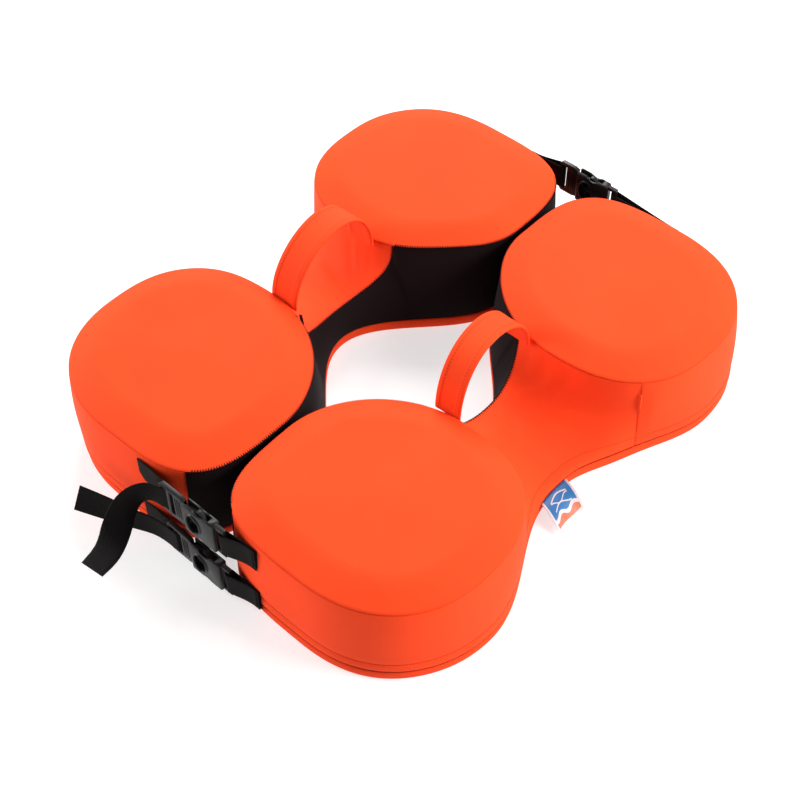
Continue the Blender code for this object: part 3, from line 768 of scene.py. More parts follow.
@dataclass(frozen=True)
class RingOutline:
    """Outlines of the right rear pod and its waist, seen from above, in metres from the ring's centre."""

    half_x: float = 0.126
    half_y: float = 0.1175
    centre_x: float = 0.129
    centre_y: float = 0.181
    outer_square: float = 2.25
    gap_square: float = 3.6
    hole_square: float = 1.92
    waist_square: float = 2.53
    flare_x: float = 0.008
    flare_y: float = 0.003
    seam_z: float = 0.108
    rim_z: float = 0.0135
    zip_z: float = 0.0165
    black_x: float = 0.032
    corner_x: float = 0.227
    base_y: float = 0.090
    inner_corner_x: float = 0.088
    inner_top_x: float = 0.104
    inner_drop: float = 0.053
    waist_outer_x: float = 0.203
    waist_flat_y: float = 0.010
    waist_inner_x: float = 0.099
    inner_curve_y: float = 0.155
    dense: int = 480

    def quarter(self, start: float, square: float, inset: float = 0.0,
            flare: tuple[float, float] = (0.0, 0.0)) -> np.ndarray:
        """A quarter of the pod's outline.

        Args:
            start: The angle that it starts at, in degrees, anticlockwise.
            square: How square it is; 2 is an ellipse.
            inset: How far inside the outline, in metres.
            flare: How much wider along X and Y, in metres.

        Returns:
            Points, anticlockwise.
        """
        angles = np.radians(start + np.linspace(0, 90, self.dense + 1))
        c = np.cos(angles)
        s = np.sin(angles)
        x = np.sign(c) * np.abs(c) ** (2 / square) * (self.half_x - inset + flare[0])
        y = np.sign(s) * np.abs(s) ** (2 / square) * (self.half_y - inset + flare[1])
        return np.column_stack([self.centre_x + x, self.centre_y + y])

    def pod(self, inset: float, count: int) -> np.ndarray:
        """The pod's closed outline, with count points in each quarter."""
        squares = (self.outer_square, self.gap_square, self.hole_square, self.waist_square)
        parts = [resampled(self.quarter(90 * k, square, inset), count)[:-1] for k,
            square in enumerate(squares)]
        return np.concatenate(parts)

    def reach(self, x: np.ndarray | float) -> np.ndarray:
        """Where the pod's waist and hole side lies at x."""
        share = np.minimum(np.abs(np.asarray(x) - self.centre_x) / self.half_x, 1.0)
        square = np.where(np.asarray(x) > self.centre_x, self.waist_square, self.hole_square)
        return self.centre_y - self.half_y * (1 - share ** square) ** (1 / square)

    def outer_x(self, y: np.ndarray | float) -> np.ndarray:
        """The base's outer line at y."""
        turn = np.clip((np.abs(y) - self.waist_flat_y) / (self.centre_y - self.waist_flat_y), 0, 1)
        widest = self.centre_x + self.half_x + self.flare_x
        return self.waist_outer_x + (widest - self.waist_outer_x) * (1 - np.cos(np.pi * turn)) / 2

    def inner_x(self, y: np.ndarray | float) -> np.ndarray:
        """The base's inner line at y."""
        turn = np.minimum(np.abs(y) / self.inner_curve_y, 1)
        gap = self.centre_x - self.half_x
        return gap + (self.waist_inner_x - gap) * (1 + np.cos(np.pi * turn)) / 2

    def side_base(self) -> np.ndarray:
        """The base line from the saddle's seam round the pod to the black seam."""
        y = np.linspace(self.base_y, self.centre_y, 120)
        side = np.column_stack([self.outer_x(y), y])
        corner = self.quarter(0, self.outer_square, flare=(self.flare_x, self.flare_y))
        gap = self.quarter(90, self.gap_square, flare=(0.0, self.flare_y))
        return np.concatenate([side[:-1], corner[:-1], gap[gap[:, 0] >= self.black_x]])

    def side_top(self) -> np.ndarray:
        """The seam from the saddle's corner round the pod to the black seam."""
        waist = self.quarter(270, self.waist_square)
        gap = self.quarter(90, self.gap_square)
        corner = self.quarter(0, self.outer_square)
        return np.concatenate([waist[waist[:, 0] >= self.corner_x][:-1], corner[:-1],
            gap[gap[:, 0] >= self.black_x]])

    def inner_top(self) -> tuple[np.ndarray, np.ndarray]:
        """The seam past the gap, and round the hole to the saddle's inner corner."""
        gap = self.quarter(90, self.gap_square)
        hole = self.quarter(180, self.hole_square)
        return gap[gap[:, 0] <= self.black_x], hole[hole[:, 0] <= self.inner_corner_x]

    def inner_base(self) -> tuple[np.ndarray, np.ndarray]:
        """The base line past the gap, and round the hole to the saddle's inner corner."""
        gap = self.quarter(90, self.gap_square, flare=(0.0, self.flare_y))
        y = np.linspace(self.centre_y, float(self.reach(self.inner_corner_x)), 160)
        return gap[gap[:, 0] <= self.black_x], np.column_stack([self.inner_x(y), y])

    def half_base(self) -> np.ndarray:
        """The half's whole base line, closed and anticlockwise, from the front end of its outer waist."""
        y = np.linspace(-self.base_y, self.base_y, 61)
        waist = np.column_stack([self.outer_x(y), y])
        side = resampled(self.side_base(), 150)
        gap, hole = self.inner_base()
        rear = np.concatenate([side, resampled(gap, 16)[1:], resampled(hole, 44)[1:]])
        corner_y = float(self.reach(self.inner_corner_x))
        y = np.linspace(corner_y, -corner_y, 41)[1:-1]
        inner = np.column_stack([self.inner_x(y), y])
        return np.concatenate([waist[:-1], rear, inner, front_of(rear)[:-1]])

    def rise(self, share: np.ndarray) -> np.ndarray:
        """How high the saddle stands at a share of the way from its middle to a pod."""
        return 1 - (1 - np.clip(share, 0, 1) ** 2.2) ** (1 / 3)


SHAPE = RingOutline()


@dataclass
class PodCovers:
    """One pod: its laminated foam, domed top cover and outer side cover."""

    side: Side
    end: End
    finishes: Wardrobe
    dome_rise: float = 0.0122
    dome_reach: float = 0.036
    crown: float = 0.0022
    groove: float = 1.7 * MM
    wall: float = 2.2 * MM
    bulge: float = 2.4 * MM

    @property
    def name(self) -> str:
        """The side and end, as the solids' names start."""
        return f"{self.side.word}_{self.end.word}"

    def turned(self, points: np.ndarray) -> np.ndarray:
        """A rear line, or the same line at the front."""
        return points if self.end is End.REAR else front_of(points)

    def dome(self, inset: float) -> float:
        """The top cover's height above the seam at a distance in from it."""
        share = min(inset / self.dome_reach, 1.0)
        return self.dome_rise * (share - share ** 4.2 / 4.2) / (1 - 1 / 4.2)

    def top_cover(self) -> None:
        """Makes the domed cover, with an edge that turns down into the seam."""
        count = 44
        rows = [raised(SHAPE.pod(self.groove, count), SHAPE.seam_z - 0.5 * MM),
                raised(SHAPE.pod(0.7 * MM, count), SHAPE.seam_z + 0.0 * MM),
                raised(SHAPE.pod(0.1 * MM, count), SHAPE.seam_z + 0.6 * MM)]
        for share in np.linspace(0, 1, 20):
            inset = 0.8 * MM + share * self.dome_reach
            rows.append(raised(SHAPE.pod(inset, count), SHAPE.seam_z + 1.3 * MM + self.dome(inset)))
        last = rows[-1]
        middle = np.array([SHAPE.centre_x, SHAPE.centre_y, 0])
        for share in (0.85, 0.7, 0.55, 0.4, 0.25, 0.1, 0.02):
            row = middle + (last - middle) * np.array([share, share, 1])
            rows.append(row + np.array([0, 0, self.crown * (1 - share)]))
        grid = np.array([self.turned(row) for row in rows])
        grid = softened(grid, 0.9 * MM, 0.06, 3.1 * self.side.value + 1.7 * self.end.value, pinned=False)
        obj = loft(f"{self.name}_top_cover", grid, self.finishes.orange, self.side, wrap=True, cap_last=True,
                   from_above=True)
        thicken(obj, self.wall)
        smooth(obj)
        report(obj, self.side.body, [f"{self.name}_top_panel"])
        self.seam(grid)

    def seam(self, grid: np.ndarray) -> None:
        """Sews the top cover's edge: orange stitches in its crease, black overlocking past the black cover.

        Args:
            grid: The top cover's rows.
        """
        normals = grid_normals(grid)
        plan = np.abs(grid[0])
        dark = ((plan[:, 0] < SHAPE.black_x) | (plan[:, 1] < SHAPE.centre_y - 0.02)) & (plan[:,
            0] < SHAPE.inner_corner_x)
        start = int(np.argmax(dark & ~np.roll(dark, 1)))
        order = np.roll(np.arange(grid.shape[1]), -start)
        black = order[dark[order]]
        orange = order[~dark[order]]
        crease = stitches(f"{self.name}_seam_stitches", grid[1][orange] + np.array([0, 0, 0.1 * MM]),
                          normals[1][orange], self.finishes.orange_thread, self.side, pitch=2.8 * MM,
                          length=2.0 * MM,
                          radius=0.5 * MM)
        report(crease, self.side.body)
        edge = stitches(f"{self.name}_seam_overlock", grid[3][black] - np.array([0, 0, 0.5 * MM]),
            normals[3][black],
                        self.finishes.black_thread, self.side, pitch=2.6 * MM, length=3.0 * MM,
                        radius=0.6 * MM,
                        across=True)
        report(edge, self.side.body)

    def side_cover(self) -> None:
        """Makes the outer side cover, with the zip's facing as a flat welt at its foot."""
        base = resampled(SHAPE.side_base(), 150)
        top = resampled(SHAPE.side_top(), 150)
        out = outward(base)
        rows = []
        height = SHAPE.seam_z - SHAPE.zip_z
        reach = np.concatenate([[0.0], np.cumsum(np.linalg.norm(np.diff(base, axis=0), axis=1))])
        near = np.minimum(reach, reach[-1] - reach)
        window = np.clip(near / (16 * MM), 0.0, 1.0)[:, None]
        window = window * window * (3 - 2 * window)
        tuck = np.where(near < 0.8 * MM, -0.6 * MM, 0.0)[:, None]
        levels = [(0.0, -1.6 * MM), (0.4 * MM, 0.2 * MM), (2.0 * MM, 1.0 * MM), (6.0 * MM, 1.1 * MM),
                  (10.5 * MM, 0.9 * MM), (11.6 * MM, 0.1 * MM), (12.4 * MM, 0.1 * MM), (14.0 * MM, 0.8 * MM)]
        levels += [(z, self.bulge * math.sin(math.pi * z / height) ** 0.8) for z in np.linspace(18 * MM,
            height - 3 * MM, 12)]
        levels += [(height - 1.2 * MM, -0.1 * MM), (height - 0.5 * MM, -self.groove)]
        for z, push in levels:
            share = z / height
            line = base * (1 - share) + top * share
            push = push * window if push > 0.5 * MM else push
            rows.append(raised(line + out * (push + tuck), SHAPE.zip_z + z))
        grid = np.array([self.turned(row) for row in rows])
        grid = softened(grid, 0.8 * MM, 0.05, 5.3 * self.side.value + 2.9 * self.end.value)
        obj = loft(f"{self.name}_side_cover", grid, self.finishes.orange, self.side)
        thicken(obj, self.wall)
        smooth(obj)
        report(obj, self.side.body, [f"{self.name}_outer_side_panel"])
        normals = grid_normals(grid)
        sewn = stitches(f"{self.name}_zip_topstitch", grid[5], normals[5], self.finishes.orange_thread,
            self.side)
        report(sewn, self.side.body)

    def foam(self) -> None:
        """Makes the foam inside: sheets of foam glued in a stack, the upper ones cut smaller."""
        sheets = 6
        floor = 3.2 * MM
        thick = (SHAPE.seam_z - 2.5 * MM - floor) / sheets
        rows = []
        for k in range(sheets):
            low = floor + k * thick
            for inset, z in ((7.0 * MM, low), (6.2 * MM, low + 0.8 * MM),
                    (6.2 * MM, low + thick - 0.8 * MM)):
                rows.append(raised(SHAPE.pod(inset, 20), z))
        rows.append(raised(SHAPE.pod(7.5 * MM, 20), SHAPE.seam_z - 2.5 * MM))
        rows.append(raised(SHAPE.pod(22 * MM, 20), SHAPE.seam_z + 3.5 * MM))
        rows.append(raised(SHAPE.pod(44 * MM, 20), SHAPE.seam_z + 7.6 * MM))
        grid = np.array([self.turned(row) for row in rows])
        obj = loft(f"{self.name}_foam_stack", grid, self.finishes.foam, self.side, wrap=True, cap_first=True,
            cap_last=True)
        smooth(obj, math.radians(30))
        report(obj, self.side.body, [f"{self.name}_pod_foam"])

    def build(self) -> None:
        """Makes every piece of the pod."""
        self.foam()
        self.top_cover()
        self.side_cover()


@dataclass
class Waist:
    """The low middle of a half: saddle cover, black inner cover, bottom cover, zip and bridge foam."""

    side: Side
    finishes: Wardrobe
    wall: float = 2.0 * MM
    edge_share: float = 0.12
    foot_z: float = 0.0168
    swell: float = 0.004
    crease: float = 2.4 * MM
    tooth_pitch: float = 2.4 * MM

    def saddle_grid(self) -> np.ndarray:
        """Rows of the saddle from its outer edge, at the zip, to its inner edge.

        Returns:
            Rows of points from the front pod to the rear one.
        """
        shape = SHAPE
        corner = np.array([shape.corner_x, float(shape.reach(shape.corner_x)), shape.seam_z - 1.0 * MM])
        foot = np.array([float(shape.outer_x(shape.base_y)), shape.base_y, self.foot_z])
        foot_mid = np.array([shape.waist_outer_x, 0, self.foot_z])
        inner_mid = np.array([shape.inner_top_x + 1.6 * MM, 0, shape.seam_z - shape.inner_drop])
        share = 1 - (1 - np.linspace(0, 1, 26)) ** 2.4
        rows = []
        steps = np.concatenate([np.linspace(0, self.edge_share, 9)[:-1],
                                self.edge_share + (1 - self.edge_share) * np.linspace(0, 1, 30)])
        for t in steps:
            low = min(t / self.edge_share, 1.0)
            if t < self.edge_share:
                end = foot + (corner - foot) * low
            else:
                along = (t - self.edge_share) / (1 - self.edge_share)
                x = corner[0] + (shape.inner_corner_x + 1.2 * MM - corner[0]) * along
                end = np.array([x, float(shape.reach(x)), corner[2]])
            mid = foot_mid + (inner_mid - foot_mid) * t
            mid[2] += self.swell * math.sin(math.pi * min(t * 1.15, 1.0)) ** 0.8
            y = end[1] * share
            curve = mid[0] + (end[0] - mid[0]) * share ** 2
            straight = shape.outer_x(y)
            x = straight + (curve - straight) * (3 * low ** 2 - 2 * low ** 3)
            x += (end[0] - x[-1]) * share ** 3.5
            z = mid[2] + (end[2] - mid[2]) * shape.rise(share)
            half = np.column_stack([x, y, z])
            if t >= self.edge_share:
                half = np.concatenate([half, [[end[0], end[1] + 1.5 * MM, shape.seam_z - 0.5 * MM]]])
            else:
                half = np.concatenate([half, [[end[0] - 0.5 * MM, end[1] + 0.4 * MM, end[2]]]])
            rows.append(np.concatenate([(half * np.array([1, -1, 1]))[:0:-1], half]))
        return np.array(rows)

    def creased(self, grid: np.ndarray) -> np.ndarray:
        """Draws the cloth into shallow pull lines that fan out from the middle of its inner edge.

        Args:
            grid: The saddle's rows.

        Returns:
            The creased grid.
        """
        normals = grid_normals(grid)
        root = grid[-1, grid.shape[1] // 2]
        free = near_ends(grid, 30 * MM)
        moved = grid.copy()
        for i in range(2, len(grid) - 1):
            share = i / (len(grid) - 1)
            weight = self.crease * math.sin(math.pi * share) ** 0.7 * (0.35 + 0.65 * share)
            for j in range(1, grid.shape[1] - 1):
                away = grid[i, j] - root
                turn = math.atan2(away[1], away[0] + 0.02)
                far = math.hypot(away[0], away[1])
                fold = noise.noise(Vector((turn * 7.0, far * 9.0, 4.0 * self.side.value)))
                moved[i, j] += normals[i, j] * weight * free[i, j] * (abs(fold) * 2 - 0.5)
        return moved

    def saddle_cover(self) -> None:
        """Makes the cover over the waist, with stitches along the zip, its side seams and its inner edge."""
        grid = self.saddle_grid()
        foot = grid[0].copy()
        tucked = foot - np.array([1.6 * MM, 0, 0.2 * MM])
        grid = np.concatenate([[tucked], grid])
        grid = softened(grid, 1.6 * MM, 0.045, 9.7 * self.side.value)
        grid = self.creased(grid)
        obj = loft(f"{self.side.word}_saddle_cover", grid, self.finishes.orange, self.side)
        thicken(obj, self.wall)
        smooth(obj)
        report(obj, self.side.body, [f"{self.side.word}_saddle_panel"])
        normals = grid_normals(grid)
        level = self.even_line(grid, 12.4 * MM)
        sewn = stitches(f"{self.side.word}_saddle_zip_topstitch", level[0], level[1],
            self.finishes.orange_thread, self.side)
        report(sewn, self.side.body)
        for end, column in ((End.FRONT, 1), (End.REAR, -2)):
            line = grid[1:10, column]
            sewn = stitches(f"{self.side.word}_{end.word}_saddle_side_stitch", line, normals[1:10, column],
                            self.finishes.orange_thread, self.side)
            report(sewn, self.side.body)
        if self.side is Side.LEFT:
            corner = grid[-1, 2]
            rising = np.array([corner + np.array([0, 3 * MM, -5 * MM]),
                corner + np.array([0, 1 * MM, 10 * MM])])
            tack = stitches(f"{self.side.word}_front_corner_tack", rising, normals[-1, [2, 2]],
                            self.finishes.black_thread, self.side, pitch=8 * MM, length=14 * MM,
                            radius=1.7 * MM)
            report(tack, self.side.body)
        edge = grid[-1, 1:-1] + normals[-1, 1:-1] * 0.1 * MM
        sewn = stitches(f"{self.side.word}_saddle_overlock", edge, normals[-1, 1:-1],
            self.finishes.black_thread,
                        self.side, pitch=3.0 * MM, length=3.4 * MM, radius=0.6 * MM, across=True)
        report(sewn, self.side.body)

    def even_line(self, grid: np.ndarray, distance: float) -> tuple[np.ndarray, np.ndarray]:
        """Finds the line that runs at one distance up the cloth from its foot.

        Args:
            grid: The saddle's rows.
            distance: In metres.

        Returns:
            Points and normals from the front pod to the rear one.
        """
        normals = grid_normals(grid)
        points = []
        ups = []
        for j in range(1, grid.shape[1] - 1):
            column = grid[1:, j]
            climb = np.concatenate([[0.0], np.cumsum(np.linalg.norm(np.diff(column, axis=0), axis=1))])
            i = min(int(np.searchsorted(climb, distance)), len(column) - 1)
            share = (distance - climb[i - 1]) / max(climb[i] - climb[i - 1], 1e-9)
            points.append(column[i - 1] + (column[i] - column[i - 1]) * share)
            ups.append(normals[i + 1, j])
        return np.array(points), np.array(ups)

    def inner_cover(self) -> None:
        """Makes the black cover that runs past the gap and round the hole, overlocked along its top edge."""
        gap_top, hole_top = SHAPE.inner_top()
        gap_base, hole_base = SHAPE.inner_base()
        rear_top = np.concatenate([resampled(gap_top, 20), resampled(hole_top, 60)[1:]])
        rear_base = np.concatenate([resampled(gap_base, 20), resampled(hole_base, 60)[1:]])
        valley = self.saddle_grid()[-1][1:-1][::-1]
        waist_top = valley - np.array([1.4 * MM, 0, 0.4 * MM])
        waist_base = np.column_stack([SHAPE.inner_x(valley[:, 1]), valley[:, 1]])
        height = SHAPE.seam_z - 0.5 * MM
        top = np.concatenate([raised(rear_top, height)[:-1], waist_top,
            front_of(raised(rear_top, height))[1:]])
        base = np.concatenate([rear_base[:-1], waist_base, front_of(rear_base)[1:]])
        base = raised(base, SHAPE.rim_z + 0.4 * MM)
        out = np.column_stack([outward(base), np.zeros(len(base))])
        rows = []
        for share in (0.0, 0.015, 0.04, 0.1, 0.2, 0.32, 0.44, 0.56, 0.68, 0.8, 0.9, 0.96, 0.985, 1.0):
            push = 1.2 * MM * math.sin(math.pi * share)
            if share in (0.0, 1.0):
                push = -1.5 * MM
            rows.append(base * (1 - share) + top * share + out * push)
        grid = softened(np.array(rows), 0.9 * MM, 0.05, 12.3 * self.side.value)
        obj = loft(f"{self.side.word}_inner_side_cover", grid, self.finishes.black, self.side)
        thicken(obj, self.wall)
        smooth(obj)
        report(obj, self.side.body, [f"{self.side.word}_inner_side_panel"])
        normals = grid_normals(grid)
        count = len(rear_top) - 1
        for end, part in ((End.REAR, slice(0, count)), (End.FRONT, slice(-count, None))):
            line = grid[-2, part]
            sewn = stitches(f"{self.side.word}_{end.word}_black_overlock", line + np.array([0, 0, 0.6 * MM]),
                            normals[-2, part], self.finishes.black_thread, self.side, pitch=3.0 * MM,
                            length=3.2 * MM, radius=0.6 * MM, across=True)
            report(sewn, self.side.body)

    def bottom_cover(self) -> None:
        """Makes the bottom cover: a flat floor and a soft rim."""
        line = SHAPE.half_base()
        closed = np.concatenate([line[-1:], line, line[:1]])
        out = outward(closed)[1:-1]
        rows = []
        for inset, z in ((5.0, 0.0), (2.2, 0.35), (0.8, 1.5), (0.1, 3.5), (-0.5, 6.5), (-0.5, 9.5),
                (0.0, 12.0),
                         (0.6, 12.9), (1.8, 13.3)):
            rows.append(raised(line - out * inset * MM, z * MM))
        obj = loft(f"{self.side.word}_bottom_cover", np.array(rows), self.finishes.orange, self.side,
            wrap=True, cap_first=True)
        thicken(obj, self.wall)
        smooth(obj)
        report(obj, self.side.body, [f"{self.side.word}_bottom_panel"])

    def zip_line(self) -> np.ndarray:
        """The zip's line, from the front black seam round the outside to the rear one."""
        side = resampled(SHAPE.side_base(), 150)
        y = np.linspace(-SHAPE.base_y, SHAPE.base_y, 61)
        waist = np.column_stack([SHAPE.outer_x(y), y])
        return np.concatenate([front_of(side)[:-1], waist[:-1], side])

    def zip(self) -> None:
        """Makes the zip's tape, set back in its slit, and its coil of small teeth."""
        line = self.zip_line()
        out = outward(line)
        rows = [raised(line - out * inset * MM, z * MM)
                for inset, z in ((1.9, 12.9), (1.2, 13.6), (1.0, 15.0), (1.2, 16.4), (1.9, 17.1))]
        obj = loft(f"{self.side.word}_zip_tape", np.array(rows), self.finishes.zip_tape, self.side)
        thicken(obj, 0.7 * MM)
        smooth(obj)
        report(obj, self.side.body, [f"{self.side.word}_zip"])
        coil = stitches(f"{self.side.word}_zip_coil", raised(line - out * 0.9 * MM, 15.0 * MM),
                        np.column_stack([out, np.zeros(len(out))]), self.finishes.zip_coil, self.side,
                        pitch=self.tooth_pitch, length=2.6 * MM, radius=0.75 * MM, across=True)
        report(coil, self.side.body)

    def bridge_foam(self) -> None:
        """Makes the low foam between the pods, two sheets with a cut slope."""
        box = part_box(f"{self.side.word}_bridge_foam")
        inner = min(abs(box[0].x), abs(box[1].x)) + 0.3 * MM
        outer = max(abs(box[0].x), abs(box[1].x)) - 0.3 * MM
        reach = (box[1].y - box[0].y) / 2 - 0.3 * MM
        low = box[0].z + 0.2 * MM
        high = box[1].z - 0.6 * MM
        edge = 0.014
        split = low + 0.4 * (high - low)
        section = [(inner, low), (outer, low), (outer, edge)]
        slope = np.linspace(0, 1, 8)[1:-1]
        section += [(outer + (inner - outer) * t, edge + (high - edge) * t) for t in slope]
        section += [(inner, high), (inner, split + 0.4 * MM), (inner + 0.6 * MM, split),
            (inner, split - 0.4 * MM)]
        rows = [[(x, y, z) for x, z in section] for y in np.linspace(reach, -reach, 9)]
        obj = loft(f"{self.side.word}_bridge_foam_sheets", np.array(rows), self.finishes.foam, self.side,
            wrap=True,
                   cap_first=True, cap_last=True)
        smooth(obj, math.radians(30))
        report(obj, self.side.body, [f"{self.side.word}_bridge_foam"])

    def build(self) -> None:
        """Makes every piece of the waist."""
        self.bridge_foam()
        self.saddle_cover()
        self.inner_cover()
        self.bottom_cover()
        self.zip()


def strip(name: str, centre: np.ndarray, across: np.ndarray, width: float, thickness: float,
          material: bpy.types.Material, edge: float = 0.0) -> bpy.types.Object:
    """Makes a flat strip with rounded edges along a line.

    Args:
        name: The piece's name.
        centre: The strip's middle line, one point a row.
        across: The direction across the strip at each point.
        width: In metres.
        thickness: In metres.
        material: The finish.
        edge: How much thicker the hemmed edges are, in metres.

    Returns:
        The object.
    """
    across = across / np.linalg.norm(across, axis=1, keepdims=True)
    along = np.gradient(centre, axis=0)
    up = np.cross(along, across)
    up /= np.maximum(np.linalg.norm(up, axis=1, keepdims=True), 1e-12)
    half = width / 2
    t = thickness / 2
    top = [(-half, 0.0), (-half + 0.25 * t, 0.7 * t), (-half + t, t + edge), (-half + 5 * MM, t + edge),
           (-half + 6.2 * MM, t), (-0.33 * half, t), (0.0, t), (0.33 * half, t),
           (half - 6.2 * MM, t), (half - 5 * MM, t + edge), (half - t, t + edge), (half - 0.25 * t, 0.7 * t)]
    section = top + [(-a, -b) for a, b in top]
    rows = np.array([[c + a * s + u * h for s, h in section] for c, a, u in zip(centre, across, up)])
    reach = np.concatenate([[0.0], np.cumsum(np.linalg.norm(np.diff(centre, axis=0), axis=1))])
    count = len(section)
    faces = []
    uv = []
    flat = [s for s, _ in section] + [section[0][0]]
    for i in range(len(rows) - 1):
        for j in range(count):
            corners = [(i, j), (i + 1, j), (i + 1, j + 1), (i, j + 1)]
            faces.append([a * count + b % count for a, b in corners])
            uv += [(flat[b], reach[a]) for a, b in corners]
    last = (len(rows) - 1) * count
    for corners in (list(range(count)), list(range(last + count - 1, last - 1, -1))):
        faces.append(corners)
        uv += [(flat[c % count], 0.0) for c in corners]
    obj = linked_mesh(name, rows.reshape(-1, 3), faces, np.array(uv), material)
    only(obj)
    bpy.ops.object.mode_set(mode="EDIT")
    bpy.ops.mesh.select_all(action="SELECT")
    bpy.ops.mesh.normals_make_consistent(inside=False)
    bpy.ops.object.mode_set(mode="OBJECT")
    smooth(obj, math.radians(45))
    return obj


@dataclass
class ShoulderBand:
    """The hemmed cloth band that stands over a waist and goes over a shoulder."""

    side: Side
    finishes: Wardrobe
    thickness: float = 2.6 * MM
    arch: float = 0.062
    drop: float = 0.004

    @property
    def width(self) -> float:
        """The band's width, in metres."""
        return 0.032 if self.side is Side.RIGHT else 0.036

    @property
    def lean(self) -> float:
        """How far the band leans to the front, in metres."""
        return 0.008 if self.side is Side.RIGHT else -0.006

    def line(self) -> tuple[np.ndarray, np.ndarray]:
        """The band's middle line and the direction across it.

        Returns:
            Points from the front root to the rear one, and directions.
        """
        front_x, rear_x = (0.105, 0.093) if self.side is Side.RIGHT else (0.120, 0.126)
        y = SHAPE.centre_y - SHAPE.half_y - 1.8 * MM
        z = SHAPE.seam_z - self.drop
        front = np.array([self.side.value * front_x, -y, z])
        rear = np.array([self.side.value * rear_x, y, z])
        angles = np.radians(np.linspace(180, 0, 61))
        height = np.sin(angles)[:, None]
        centre = (front + rear) / 2 + (rear - front) / 2 * np.cos(angles)[:, None]
        centre = centre + np.array([0, -self.lean, 0]) * height ** 2 + np.array([0, 0,
            self.arch + self.drop]) * height
        across = np.broadcast_to(np.array([1.0, 0, 0]), centre.shape)
        return centre, across

    def build(self) -> None:
        """Makes the band and the rows of stitches along its hems."""
        centre, across = self.line()
        band = f"{self.side.word}_band"
        start = tuple(np.array(RING) + np.array([0, 0, SHAPE.seam_z - self.drop]))
        end = tuple(np.array(start) + np.array([0, 0, 0.022]))
        obj = strip(f"{self.side.word}_shoulder_strap", centre, across, self.width, self.thickness,
                    self.finishes.orange, edge=0.25 * MM)
        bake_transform(obj, self.side.body, band, start, end)
        report(obj, band, [f"{self.side.word}_shoulder_band"])
        up = np.cross(np.gradient(centre, axis=0), across)
        up /= np.linalg.norm(up, axis=1, keepdims=True)
        for place, offset in (("outer", 1), ("inner", -1)):
            for face, lift in (("top", 1), ("under", -1)):
                line = centre + across * offset * (self.width / 2 - 5.6 * MM) + up * lift * self.thickness / 2
                sewn = stitches(f"{self.side.word}_strap_{place}_{face}_stitch", line[2:-2],
                    (up * lift)[2:-2],
                                self.finishes.orange_thread, pitch=3.4 * MM)
                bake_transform(sewn, self.side.body, band, start, end)
                report(sewn, band)


@dataclass
class Buckle:
    """A side-release buckle in moulded acetal: plug, two sprung prongs and a socket."""

    name: str
    plug_body: str
    socket_body: str
    prong_bodies: tuple[str, str]
    finishes: Wardrobe
    radius: float = 0.7 * MM

    def moulded(self, node: str, body: str, radius: float) -> bpy.types.Object:
        """Makes a moulded part on a solid's shape, with rounded edges.

        Args:
            node: The CAD node.
            body: The rigid body that it moves with.
            radius: Of the rounded edges, in metres.

        Returns:
            The part.
        """
        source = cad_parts[node]
        obj = bpy.data.objects.new(node + "_moulded", source.data.copy())
        bpy.context.scene.collection.objects.link(obj)
        obj.data.materials.clear()
        obj.data.materials.append(self.finishes.acetal)
        only(obj)
        bpy.ops.object.mode_set(mode="EDIT")
        bpy.ops.mesh.select_all(action="SELECT")
        bpy.ops.mesh.remove_doubles(threshold=0.00002)
        bpy.ops.mesh.dissolve_limited(angle_limit=math.radians(1.0))
        bpy.ops.mesh.normals_make_consistent(inside=False)
        bpy.ops.object.mode_set(mode="OBJECT")
        edge = obj.modifiers.new("Rounded edges", "BEVEL")
        edge.width = radius
        edge.segments = 3
        edge.limit_method = "ANGLE"
        edge.angle_limit = math.radians(40)
        edge.use_clamp_overlap = True
        bpy.ops.object.modifier_apply(modifier=edge.name)
        smooth(obj, math.radians(50))
        report(obj, body, [node])
        return obj

    def details(self) -> None:
        """Adds a raised lip round the release window and three ribs across the plug's shoulders."""
        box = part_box(f"{self.name}_socket")
        middle = Vector((box[1].x - 0.045, (box[0].y + box[1].y) / 2, (box[0].z + box[1].z) / 2)) - RING
        turns = np.linspace(0, 2 * math.pi, 41)[:-1]
        rows = []
        for grow, out in ((0.3, 0.0), (0.3, 0.9), (1.0, 1.4), (1.9, 1.0), (2.4, 0.0)):
            rows.append([(middle.x + 0.006 + (0.008 + grow * MM) * math.cos(a), middle.y - 0.0055 - out * MM,
                          middle.z + (0.012 + grow * MM) * math.sin(a)) for a in turns])
        lip = loft(f"{self.name}_window_lip", np.array(rows)[::-1], self.finishes.acetal, wrap=True)
        smooth(lip, math.radians(60))
        report(lip, self.socket_body)
        for k, x in enumerate((-0.0205, -0.0175, -0.0145)):
            section = [(-0.55, -0.1), (-0.45, 0.5), (0.0, 0.8), (0.45, 0.5), (0.55, -0.1)]
            rows = [[(middle.x + x + a * MM, middle.y - 0.0025 - b * MM * size, middle.z + z) for a,
                b in section]
                    for z, size in ((-0.0142, 0.1), (-0.0134, 1.0), (0.0134, 1.0), (0.0142, 0.1))]
            rib = loft(f"{self.name}_plug_rib_{k}", np.array(rows)[::-1], self.finishes.acetal)
            smooth(rib, math.radians(60))
            report(rib, self.plug_body)

    def build(self) -> None:
        """Makes the four parts."""
        self.details()
        self.moulded(f"{self.name}_plug", self.plug_body, self.radius)
        self.moulded(f"{self.name}_socket", self.socket_body, 0.5 * self.radius)
        for word, body in zip(("upper", "lower"), self.prong_bodies):
            self.moulded(f"{self.name}_{word}_prong", body, self.radius)


